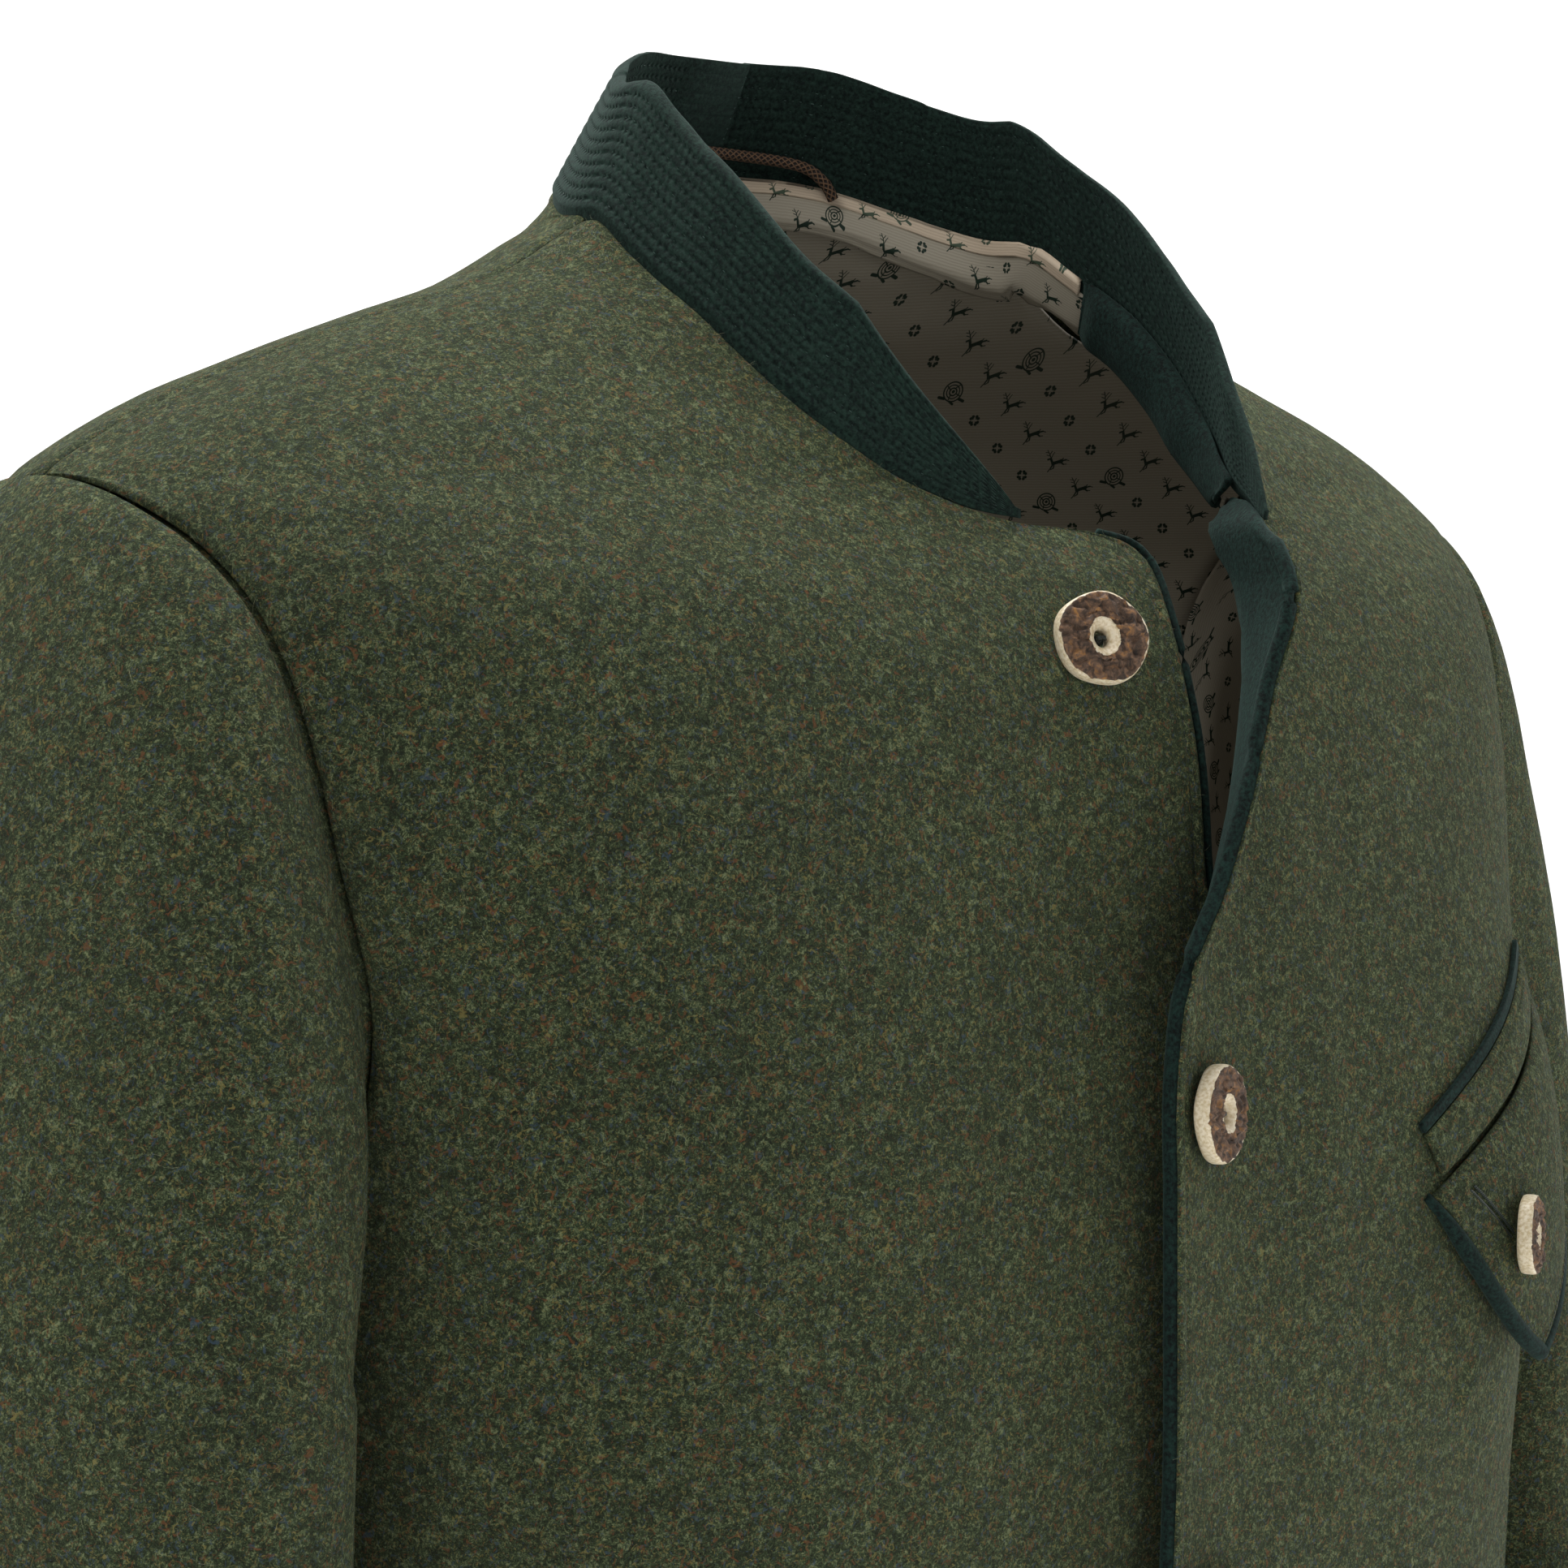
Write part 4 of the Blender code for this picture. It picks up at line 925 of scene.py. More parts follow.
def edge_roll(distance, stitched):
    rolled = -0.8 * exp(-distance / 0.5) + 0.2 * bump(distance - 1.9, 1.9)
    return rolled - 0.5 * bump(distance - TOPSTITCH, 1.2) * stitched


def laid_out(lines, near, columns):
    """A grid along some rows, with each point's distances from its row's start and end."""
    grid, from_start, from_end = [], [], []
    for line in lines:
        lengths = lengths_of(line)
        steps = spaced(lengths[-1], near, SEAM_STEPS, columns)
        grid.append([point_along(line, lengths, d) for d in steps])
        from_start.append(steps)
        from_end.append([lengths[-1] - d for d in steps])
    return grid, from_start, from_end


def hem_turn(distance):
    """Height of the cloth near the fold of a hem or a cuff."""
    return -0.7 * exp(-distance / 0.8)


def front_cloth(side):
    creases = LEFT_FRONT_CREASES if side > 0 else RIGHT_FRONT_CREASES
    lines = [front_line(side, *pair) for pair in shared_rows(row_heights(1), FINER)]
    grid, from_edge, from_seam = laid_out(lines, EDGE_STEPS, FRONT_COLUMNS)

    def relief(r, c, point):
        edge, seam = from_edge[r][c], from_seam[r][c]
        stitched = smooth((COLLAR_END - point.z) / 5)
        fade = smooth(edge / 12) * smooth(seam / 12)
        raised = edge_roll(edge, stitched) + seam_turn(seam) + hem_turn(point.z - HEM)
        return raised + fade * (crease_depth(creases, point.x, point.z) + unevenness(point))

    return pushed(grid, relief, -side)


def back_cloth():
    lines = [back_line(*pair) for pair in shared_rows(row_heights(-1), FINER)]
    grid, from_right, from_left = laid_out(lines, SEAM_STEPS, BACK_COLUMNS)

    def relief(r, c, point):
        seam = min(from_right[r][c], from_left[r][c])
        raised = seam_turn(seam) - MIDDLE_SEAM * exp(-abs(point.x)) + hem_turn(point.z - HEM)
        fade = smooth(seam / 12)
        return raised + fade * (crease_depth(BACK_CREASES, point.x, point.z) + unevenness(point))

    return pushed(grid, relief, 1)


FRONT_GRIDS = {side: front_cloth(side) for side in (-1, 1)}
BACK_GRID = back_cloth()
for side, label in SIDES:
    front = cloth("loden_front_" + label, FRONT_GRIDS[side], LODEN, LODEN_CLOTH, "loden",
                  "front_" + label, flip=side < 0)
back = cloth("loden_back", BACK_GRID, LODEN, LODEN_CLOTH, "loden", "back", flip=True)


# %% [markdown]
# ## Sleeves
#
# A sleeve is a tube whose first ring is the armhole itself and whose cap eases out to the width of
# the arm. The ring under the arm and the ring on top keep the same place all the way down, so the
# tube does not twist. It is worn a little bent, and the folds in the bend are uneven, because an arm
# never folds its sleeve into neat steps.

# %% Sleeves
SLEEVE_COLUMNS_FINE = 84     # four for each column of the armhole's table
CAP_RINGS = 26
ARM_RINGS = 84
# Creases of a sleeve: angle and height of both ends, half width in millimetres, and depth.
SLEEVE_CREASES = {
    -1: ((2.30, -252, 2.75, -330, 8, -1.6), (0.9, -150, 1.3, -226, 12, -1.2),
         (2.6, -300, 1.6, -356, 10, 1.5), (1.9, -404, 2.9, -388, 9, 1.4),
         (1.2, -438, 2.3, -470, 11, -1.5), (0.3, -360, 0.9, -470, 14, 1.2),
         (0.7, -520, 1.8, -560, 12, -1.2), (4.3, -300, 5.3, -380, 14, -1.4),
         (5.6, -420, 4.6, -500, 16, 1.4), (0.4, -600, 1.4, -640, 13, 1.0)),
    1: ((2.2, -248, 2.8, -316, 9, -1.7), (0.8, -140, 1.1, -240, 13, 1.1),
        (2.5, -330, 1.5, -372, 11, -1.5), (1.0, -420, 2.2, -450, 10, 1.5),
        (0.4, -500, 1.6, -520, 13, -1.3), (4.2, -280, 5.2, -350, 15, 1.5),
        (5.5, -440, 4.5, -470, 13, -1.5), (0.5, -610, 1.7, -650, 14, 1.0)),
}
HIND_SEAM = 4.5              # angle of the long seam behind the arm
ARM_WIDTH = 46.0             # millimetres of cloth per radian round the arm


def share_at(shares):
    """Share of the armhole's length by the angle from the top, from the table of one face."""
    table = [(0.0, 0.0)] + [(pi * (k + 1) / len(shares), share) for k, share in enumerate(shares)]
    return column(table, ("angle", "share"), "share")


def fine_angle(k):
    """Angle round a sleeve of its k-th fine column: 0 on top, pi under the arm."""
    front = 4 * len(FRONT_ARM_SHARES)
    return pi * k / front if k <= front else pi + pi * (k - front) / (4 * len(BACK_ARM_SHARES))


def armhole_ring(side, depth=0.0):
    """The whole armhole as a ring of fine columns, under the panels by a depth."""
    angles = [fine_angle(k) for k in range(SLEEVE_COLUMNS_FINE)]
    front_at, back_at = share_at(FRONT_ARM_SHARES), share_at(BACK_ARM_SHARES)
    front = armhole_line(front_surface(side), 1, side, depth)
    back = armhole_line(back_point, -1, side, depth)
    return (at_shares(front, [front_at(a) for a in angles if a <= pi])
            + at_shares(back, [back_at(2 * pi - a) for a in angles if a > pi]))


def sleeve_ring(side, height, x, y, half_width, half_depth):
    """A ring round the arm, flattened, turned in and tilted, with the folds of the bend."""
    out, rearward = ARM_SET[side]
    centre = Vector((side * (x + out), y + rearward, height))
    turn = radians(SLEEVE_TURN)
    swell = sum(depth * bump(height - middle, 22) for middle, depth in SLEEVE_FOLDS)
    ring = []
    for k in range(SLEEVE_COLUMNS_FINE):
        angle = fine_angle(k)
        across, along = half_width * cos(angle), half_depth * sin(angle)
        x_part = across * cos(turn) - along * sin(turn)
        y_part = -across * sin(turn) - along * cos(turn)
        arm = Vector((side * x_part, y_part, -SLEEVE_TILT * 0.4 * y_part))
        inner_bend = smooth(0.5 - y_part / (2 * half_width))
        ring.append(centre + arm + arm.normalized() * swell * inner_bend)
    return ring


def sleeve_rings(side):
    """Rings of a sleeve, without its creases."""
    loop = armhole_ring(side)
    at = columns_of(SLEEVE, SLEEVE_COLUMNS)
    top, bottom = SLEEVE[0][0], SLEEVE[-1][0]
    first = sleeve_ring(side, *SLEEVE[0])
    rings = []
    for step in range(CAP_RINGS):
        t = (step / CAP_RINGS) ** 1.25
        ring = []
        for k, (start, end) in enumerate(zip(loop, first)):
            angle = fine_angle(k)
            rise = 0.5 + 0.5 * cos(angle)
            shares = Vector((t ** (0.62 + 0.08 * rise), t ** 0.75, t ** (1 + 0.4 * rise)))
            point = start + (end - start) * shares
            point.y -= HEAD_SWELL * sin(pi * t) * bump(angle - 0.75 * pi, 0.3 * pi)
            ring.append(point + Vector((side * SLEEVE_STAND * (1.6 - 0.6 * rise), 0, 0)))
        rings.append(ring)
    for k in range(ARM_RINGS + 1):
        height = top + (bottom - top) * k / ARM_RINGS
        rings.append(sleeve_ring(side, height, *(at[name](height) for name in SLEEVE_COLUMNS[1:])))
    return rings


def sleeve_cloth(side, rings):
    from_armhole = [lengths_of([ring[k] for ring in rings]) for k in range(SLEEVE_COLUMNS_FINE)]

    def relief(r, c, point):
        angle = fine_angle(c)
        done, left = from_armhole[c][r], from_armhole[c][-1] - from_armhole[c][r]
        raised = -0.9 * exp(-done / 1.2) + 0.5 * bump(done - 5, 5) + hem_turn(left)
        raised -= 0.8 * exp(-abs(angle - HIND_SEAM) * ARM_WIDTH / 1.2) * smooth(done / 20)
        creased = crease_depth([(a * ARM_WIDTH, z, b * ARM_WIDTH, w, *rest)
                                for a, z, b, w, *rest in SLEEVE_CREASES[side]],
                               angle * ARM_WIDTH, point.z)
        return raised + smooth(done / 14) * smooth(left / 14) * (creased + unevenness(point))

    return pushed(rings, relief, side, closed=True)


SLEEVE_RINGS = {side: sleeve_rings(side) for side in (-1, 1)}
SLEEVE_GRIDS = {side: sleeve_cloth(side, SLEEVE_RINGS[side]) for side in (-1, 1)}
for side, label in SIDES:
    sleeve = cloth("loden_sleeve_" + label, SLEEVE_GRIDS[side], LODEN, LODEN_CLOTH, "loden",
                   "sleeve_" + label, flip=side > 0, closed=True)


# %% [markdown]
# The seam of the armhole has its allowances inside, on both sides of the stitching. A band of loden
# stands for them: from behind the body's panels it passes under the seam into the sleeve.

# %% Armhole seams
ALLOWANCE = 4.0              # reach of the band behind the body's panels
ALLOWANCE_THICKNESS = 0.6
ALLOWANCE_DEPTH = 1.0        # under the inner face of the panels
SLEEVE_REACH = ((2, 0.9), (5, 1.2))      # rings of the sleeve that it covers, depth under each
for side, label in SIDES:
    edge = armhole_ring(side, LODEN + ALLOWANCE_DEPTH)
    rings = [[p - Vector((side * ALLOWANCE, 0, 0)) for p in edge], edge]
    for step, depth in SLEEVE_REACH:
        ring = SLEEVE_RINGS[side][step]
        centre = sum(ring, Vector()) / len(ring)
        rings.append([p + Vector((0, centre.y - p.y, centre.z - p.z)).normalized() * (LODEN + depth)
                      for p in ring])
    band = cloth("loden_armhole_seam_" + label, rings, ALLOWANCE_THICKNESS, LODEN_CLOTH, "loden",
                 flip=side > 0, closed=True)


# %% [markdown]
# ## Facings
#
# A facing is the strip of felt behind each front edge. It carries on past the cloth's edge and is
# rolled over a cord there, so that a round green line runs down the front. That roll is a tube of
# its own: a ring of points carried along the edge, which is how piping is made as well.

# %% Facings and their piping
FACING_COLUMNS = 14
FACING_RISE = 5.0            # the left facing, turned outward, starts under the collar's end
ROLL_SIDES = 8


def facing_rows(side):
    top = COLLAR_END + (FACING_RISE if side > 0 else -1)
    kept = [pair for pair in row_heights(1) if pair[0] <= top]
    grid = []
    for inner, outer in shared_rows(kept, FINER):
        line = front_line(side, inner, outer, FACING_DEPTH)
        lengths = lengths_of(line)
        steps = [FACING_WIDTH * (k / (FACING_COLUMNS - 2)) ** 1.3 for k in range(FACING_COLUMNS - 1)]
        points = [point_along(line, lengths, d) for d in steps]
        grid.append([points[0] + (points[0] - points[1]).normalized() * (PIPING - 0.7)] + points)
    return grid


def round_grid(path, radius_at, sides):
    """Rings of points round a path; radius_at gives the radius at the path's i-th point."""
    grid = []
    for i, point in enumerate(path):
        ahead = (path[min(i + 1, len(path) - 1)] - path[max(i - 1, 0)]).normalized()
        side_way = ahead.cross(Vector((0, 0, 1)) if abs(ahead.z) < 0.9 else Vector((0, 1, 0))).normalized()
        other_way = ahead.cross(side_way)
        grid.append([point + (side_way * cos(a) + other_way * sin(a)) * radius_at(i)
                     for a in (2 * pi * k / sides for k in range(sides))])
    return grid


def roll(name, path, radius, material, slot, swell=lambda i: 1.0):
    """A round cord of cloth along a path; swell changes the radius from place to place."""
    grid = round_grid(path, lambda i: radius * swell(i), ROLL_SIDES)
    return capped(cloth(name, grid, None, material, slot, closed=True))


def capped(piece):
    """Closes the open ends of a tube."""
    bm = bmesh.new()
    bm.from_mesh(piece.data)
    bmesh.ops.holes_fill(bm, edges=[edge for edge in bm.edges if edge.is_boundary])
    bmesh.ops.recalc_face_normals(bm, faces=bm.faces)
    bm.to_mesh(piece.data)
    bm.free()
    return piece


# Radius of each roll, and how far its middle lies in from the facing's edge and in front of it.
PIPING_RADIUS = {-1: 1.05, 1: 2.1}
PIPING_SHIFT = {-1: (-1.5, 1.3), 1: (1.7, 0.0)}
PIPING_RISE = 2.0            # the right roll climbs this much at the collar's end
for side, label in SIDES:
    rows = facing_rows(side)
    facing = cloth("felt_facing_" + label, rows, FELT, FELT_CLOTH, "felt", "facing_" + label,
                   flip=side < 0)
    into = [(row[1] - row[0]).normalized() for row in rows]
    shift, forward = PIPING_SHIFT[side]
    edge_path = [row[0] + step * shift - Vector((0, forward, 0)) for row, step in zip(rows, into)]
    if side < 0:
        edge_path = [p + Vector((0, 0, PIPING_RISE * smooth((p.z - COLLAR_END + 20) / 15)))
                     for p in edge_path]
    roll("felt_piping_" + label, edge_path, PIPING_RADIUS[side], FELT_CLOTH, "felt")


# %% [markdown]
# ## The printed lining
#
# Folk cloths of the Alps carry small hunting and luck charms: a leaping stag, a four-leaf clover, a
# rose. Each is charted here as a few round-ended strokes in millimetres, the way a block cutter
# would lay it out, and the shader measures how far a place on the cloth is from the nearest stroke.
# Stags stand in every second column. Clovers and a rose take turns in the others.

# %% Charts of the print
# Strokes: both ends across and up, and half the thickness, all in millimetres.
STAG = (
    (-0.9, -0.3, 1.3, 0.5, 0.50), (1.3, 0.4, 1.7, 0.6, 0.58), (-1.0, -0.2, -1.6, 1.1, 0.36),
    (-1.7, 1.2, -2.5, 0.9, 0.27), (1.9, 0.7, 3.1, 1.0, 0.24), (3.1, 1.0, 4.0, 0.8, 0.13),
    (1.5, 0.2, 2.4, -0.4, 0.24), (2.4, -0.4, 3.3, -0.3, 0.13), (-0.9, -0.6, -1.5, -1.8, 0.22),
    (-1.5, -1.8, -2.3, -2.9, 0.15), (-0.5, -0.6, -0.6, -1.7, 0.20), (-0.6, -1.7, -1.4, -2.2, 0.14),
    (1.9, 1.0, 2.2, 1.5, 0.15), (-1.6, 1.4, -2.1, 2.5, 0.14), (-2.1, 2.5, -2.9, 3.7, 0.12),
    (-2.1, 2.4, -1.5, 3.5, 0.12), (-1.9, 2.0, -3.0, 2.3, 0.11), (-2.4, 3.0, -3.4, 3.1, 0.10),
    (-1.5, 1.4, -1.1, 2.5, 0.12), (-1.2, 2.2, -0.7, 3.2, 0.10),
)
CLOVER_LEAF = ((0.55, 1.12, 0.46), (1.12, 0.55, 0.46), (0.50, 0.50, 0.24))
ROSE_RINGS = ((2.75, 0.20), (1.9, 0.16), (1.05, 0.20))
ROSE_LEAVES = (
    (2.2, -2.0, 3.6, -2.6, 0.42), (-2.3, -1.9, -3.9, -1.6, 0.42), (-0.4, -2.8, 0.6, -3.5, 0.34),
    (0.3, 0.9, 1.7, 1.9, 0.16), (-0.8, 0.4, -1.9, 1.5, 0.16), (-0.6, -0.8, -0.9, -2.2, 0.16),
    (0.9, -0.5, 2.2, -1.1, 0.16), (0.0, 0.0, 0.1, 0.1, 0.42),
)
PRINT_ALONG = 11.9           # pitch of the motifs down a column, in millimetres
PRINT_ACROSS = 10.1          # distance of the columns
FAR = 9.0                    # millimetres, farther than any stroke
PRINT_SLANT = -0.80          # turn of the columns against the cloth's edge; the motifs stand upright


def make_print(name, ground, shade, figure):
    """Cloth printed with the charted motifs, measured on its flat cut."""
    material, shader, add = new_material(name)
    where = add("TexCoord")
    laid = add("Mapping", {"Vector": where.outputs["UV"], "Scale": (1000, 1000, 0),
                           "Rotation": (0, 0, PRINT_SLANT)})
    parts = add("SeparateXYZ", {"Vector": laid})
    across = add("Math DIVIDE", (parts.outputs["X"], PRINT_ACROSS))
    number = add("Math FLOOR", (across,))
    shifted = add("Math MULTIPLY_ADD", (number, PRINT_ALONG * 0.37, parts.outputs["Y"]))
    along = add("Math DIVIDE", (shifted, PRINT_ALONG))
    place = add("Math FLOOR", (along,))
    local_x = add("Math SUBTRACT", (across, number))
    local_y = add("Math SUBTRACT", (along, place))
    x_mm = add("Math MULTIPLY_ADD", (local_x, PRINT_ACROSS, -PRINT_ACROSS / 2))
    y_mm = add("Math MULTIPLY_ADD", (local_y, PRINT_ALONG, -PRINT_ALONG / 2))
    slanted = add("CombineXYZ", {"X": x_mm, "Y": y_mm})
    spot = add("Mapping", {"Vector": slanted, "Rotation": (0, 0, -PRINT_SLANT)})
    nearest = []
    for strokes in (STAG, ROSE_LEAVES):
        best = FAR
        for ax, ay, bx, by, half in strokes:
            run = Vector((bx - ax, by - ay, 0))
            offset = add("VectorMath SUBTRACT", (spot, (ax, ay, 0)))
            share = add("VectorMath DOT_PRODUCT", (offset, run / run.length_squared))
            held = add("Clamp", {"Value": share.outputs["Value"]})
            foot = add("VectorMath SCALE", {0: run, "Scale": held})
            away = add("VectorMath DISTANCE", (offset, foot))
            outside = add("Math SUBTRACT", (away.outputs["Value"], half))
            best = add("Math MINIMUM", (outside, best))
        nearest.append(best)
    stag, rose = nearest
    folded = add("VectorMath ABSOLUTE", (spot,))
    clover = FAR
    for x, y, half in CLOVER_LEAF:
        away = add("VectorMath DISTANCE", (folded, (x, y, 0)))
        outside = add("Math SUBTRACT", (away.outputs["Value"], half))
        clover = add("Math MINIMUM", (outside, clover))
    reach = add("VectorMath LENGTH", (spot,))
    for radius, half in ROSE_RINGS:
        from_ring = add("Math SUBTRACT", (reach.outputs["Value"], radius))
        size = add("Math ABSOLUTE", (from_ring,))
        outside = add("Math SUBTRACT", (size, half))
        rose = add("Math MINIMUM", (outside, rose))
    turn_of_rose = add("Math FLOORED_MODULO", (place, 4.0))
    is_rose = add("Math LESS_THAN", (turn_of_rose, 0.5))
    charm = add("Mix", {0: is_rose, 2: clover, 3: rose})
    odd = add("Math FLOORED_MODULO", (number, 2.0))
    is_stag = add("Math GREATER_THAN", (odd, 0.5))
    distance = add("Mix", {0: is_stag, 2: charm, 3: stag})
    printed = add("MapRange", {"Value": distance, "From Min": -0.05, "From Max": 0.06, "To Min": 1.0,
                               "To Max": 0.0})
    weave = add("TexWave", {"Vector": laid, "Scale": 0.55, "Distortion": 1.5},
                bands_direction="DIAGONAL")
    cloth_colour = add("Mix", {0: weave.outputs["Fac"], 6: ink(ground), 7: ink(shade)},
                       data_type="RGBA")
    colour = add("Mix", {0: printed, 6: cloth_colour.outputs[2], 7: ink(figure)}, data_type="RGBA")
    raised = add("Bump", {"Height": weave.outputs["Fac"], "Strength": 0.25, "Distance": 0.0001})
    plug(shader, {"Base Color": colour.outputs[2], "Normal": raised, "Roughness": 0.6,
                  "Specular IOR Level": 0.3})
    return material


LINING_CLOTH = make_print("printed lining", "b4ac9a", "a69e8d", "1c3024")
# The neck tape is the lining's print in lighter colours: a painted highlight for the light that the raised
# tape catches.
TAPE_CLOTH_PAINTED_LIGHTER = make_print("printed neck tape, painted highlight", "dccab2", "cdb9a0", "4a5a48")


# %% [markdown]
# ## Linings
#
# The lining follows the panels a few millimetres inside, hangs a little loose and stops at the
# facing. A sleeve's lining is a narrower tube that starts at the armhole and ends just short of the
# cuff. Nobody sees most of it, so it has fewer columns than the cloth outside.

# %% Linings
ARC_STEPS = 80               # points of a level section
PRINT_RISE = 1.03            # cloth for each millimetre of height
EASE_ACROSS, EASE_CURVED = 0.743, 0.669      # share of the width and of the curve in the back's cut
FRONT_LINING_COLUMNS, BACK_LINING_COLUMNS = 30, 48
LINING_FINER = 3


def loose(r, c, point):
    """How far the lining hangs off its even form, in millimetres."""
    return noise.noise(point / 30.0) * 0.5


def level_flat(grid):
    """The flat cut of a front: along the body's level section, and up."""
    arcs = {}

    def arc_at(x, height):
        if height not in arcs:
            width = BODY_AT["half_width"](height) * 0.999
            across = [width * sin(pi * k / ARC_STEPS) for k in range(-ARC_STEPS // 2, ARC_STEPS // 2 + 1)]
            lengths = lengths_of([section(height, angle_at(height, a, 1)) for a in across])
            arcs[height] = across, [d - lengths[ARC_STEPS // 2] for d in lengths]
        across, lengths = arcs[height]
        i = min(max(bisect_right(across, x) - 1, 0), ARC_STEPS - 1)
        share = (x - across[i]) / (across[i + 1] - across[i])
        return lengths[i] + (lengths[i + 1] - lengths[i]) * share

    return [[(arc_at(p.x, round(p.z / 3) * 3) * MM, p.z * PRINT_RISE * MM) for p in row]
            for row in grid]


def back_flat(grid):
    """The back's flat cut, eased over its slopes: across by width and by how far it has curved."""
    flat = []
    for row in grid:
        across = [EASE_ACROSS * abs(p.x) + EASE_CURVED * max(0.0, section(p.z, pi).y - p.y) for p in row]
        flat.append([((d if p.x > 0 else -d) * MM, p.z * PRINT_RISE * MM) for d, p in zip(across, row)])
    return flat


def lining_front_rows(side):
    upper = [pair for pair in row_heights(1) if -8 > pair[0] > COLLAR_END + 6]
    lower = [pair for pair in row_heights(1) if COLLAR_END - 1 > pair[0] > HEM + 20]
    ramp = (lower[1][1] - SHOULDER_POINT) / 5
    rows = [(*pair, NECK_MARGIN) for pair in upper]
    for k, start in enumerate((NECK_MARGIN, 0.3 * FACING_WIDTH, 0.67 * FACING_WIDTH, FACING_WIDTH + 1.5)):
        rows.append((COLLAR_END + 4.5 - 1.6 * k, SHOULDER_POINT + ramp * (k + 1), start))
    rows += [(*pair, FACING_WIDTH + 1.5) for pair in lower[1:]]
    grid = []
    for inner, outer, start in shared_rows(rows, LINING_FINER):
        if side > 0:
            start += 20.0 * smooth((-48 - inner) / 14) * smooth((inner + 112) / 22)
        line = front_line(side, inner, outer, LINING_DEPTH)
        lengths = lengths_of(line)
        span = lengths[-1] - 1.0 - start
        shares = [(k / FRONT_LINING_COLUMNS) ** 1.25 for k in range(FRONT_LINING_COLUMNS + 1)]
        grid.append([point_along(line, lengths, start + span * share) for share in shares])
    return grid


def lining_back_rows():
    rows = [pair for pair in row_heights(-1) if 8 > pair[0] > HEM + 16]
    grid = []
    for inner, outer in shared_rows(rows, LINING_FINER):
        margin = NECK_MARGIN if inner > SHOULDER_NECK else 1.0
        line = back_line(inner, outer, LINING_DEPTH)
        lengths = lengths_of(line)
        span = lengths[-1] - 2 * margin
        grid.append([point_along(line, lengths, margin + span * k / BACK_LINING_COLUMNS)
                     for k in range(BACK_LINING_COLUMNS + 1)])
    return grid


def drawn_in(ring, distance, weights):
    """Every second point of a ring, moved towards its middle in a weighted direction."""
    centre = sum(ring, Vector()) / len(ring)
    return [p + ((centre - p) * Vector(weights)).normalized() * distance for p in ring[::2]]


def sleeve_lining_rows(side):
    rings = SLEEVE_RINGS[side]
    start = drawn_in(armhole_ring(side, LINING_DEPTH), SLEEVE_LINING_START, (0, 1, 1))
    tube = [drawn_in(ring, SLEEVE_LINING_INSET, (3, 1, 0.5)) for ring in rings[8:-6:3]]
    eased = [[a.lerp(b, t) for a, b in zip(start, tube[0])] for t in (0.0, 0.35, 0.7)]
    sewn = armhole_ring(side, LINING_DEPTH + 1.0)[::2]
    return [[p - Vector((side * 5.0, 0, 0)) for p in sewn], sewn] + eased + tube


for side, label in SIDES:
    grid = lining_front_rows(side)
    lining = cloth("printed_lining_" + label, pushed(grid, loose, -side), LINING,
                   LINING_CLOTH, "lining", "lining_" + label, flip=side < 0, flat=level_flat(grid))
    grid = sleeve_lining_rows(side)
    tube = cloth("printed_sleeve_lining_" + label, pushed(grid, loose, side, True),
                 LINING, LINING_CLOTH, "lining", "sleeve_lining_" + label, flip=side > 0, closed=True)
grid = lining_back_rows()
lining = cloth("printed_lining_back", pushed(grid, loose, 1), LINING, LINING_CLOTH,
               "lining", "lining_back", flip=True, flat=back_flat(grid))


# %% [markdown]
# ## Stand collar
#
# The collar is two layers of felt over a stiff canvas, quilted together with eleven rows of running
# stitch along its length. The rows pull the felt down and leave soft channels between them. It is
# one closed skin: a ring of points round the collar's section, carried along the neck seam.

# %% Frame of the neck seam
def neck_station(u):
    """Surface, height and angle on the neck seam: 0 right end, 2 middle of the back, 4 left end."""
    side = -1 if u <= 2 else 1
    t = u if u <= 2 else 4 - u
    if t <= 1:
        height = COLLAR_END + (SHOULDER_NECK - COLLAR_END) * t
        border = RIGHT_AT["x"](height) if side < 0 else LEFT_AT["x"](height)
        return front_surface(side), height, angle_at(height, border, 1)
    height = SHOULDER_NECK + (NECK_BACK_TOP - SHOULDER_NECK) * sin(pi / 2 * (t - 1))
    return back_point, height, side * angle_at(height, NECK_BACK_AT["reach"](height), -1)


def neck_point(u):
    surface, height, angle = neck_station(min(4.0, max(0.0, u)))
    return surface(height, angle)


def neck_inward(u):
    """Horizontal direction from the neck seam towards the neck."""
    tangent = neck_point(u + 0.24) - neck_point(u - 0.24)
    return Vector((tangent.y, -tangent.x, 0)).normalized()


def neck_upward(u):
    """Direction square to the neck seam and to its inward direction."""
    tangent = (neck_point(u + 0.05) - neck_point(u - 0.05)).normalized()
    upward = tangent.cross(neck_inward(u)).normalized()
    return upward if upward.z > 0 else -upward


# Lean of the collar's top edge, by share of the neck seam from the right end to the left.
LEAN_COLUMNS = ("share", "inward", "forward", "rise")
LEAN = (
    (0.00, 2, 0, 0.98), (0.08, 5, 0, 1.00), (0.18, 9, 1, 1.00), (0.28, 13, 2, 0.97),
    (0.38, 15, 3, 0.87), (0.46, 13, 4, 0.855), (0.56, 10, 4, 0.91), (0.66, 8, 2, 0.96),
    (0.78, 8, 0, 0.98), (0.88, 7, 0, 0.98), (0.95, 3, 1, 0.98), (1.00, 0, 2, 0.98),
)
LEAN_AT = columns_of(LEAN, LEAN_COLUMNS)


def lean(name, share):
    """A column of the table with its corners rounded off."""
    return sum(LEAN_AT[name](share + 0.015 * k) for k in range(-4, 5)) / 9


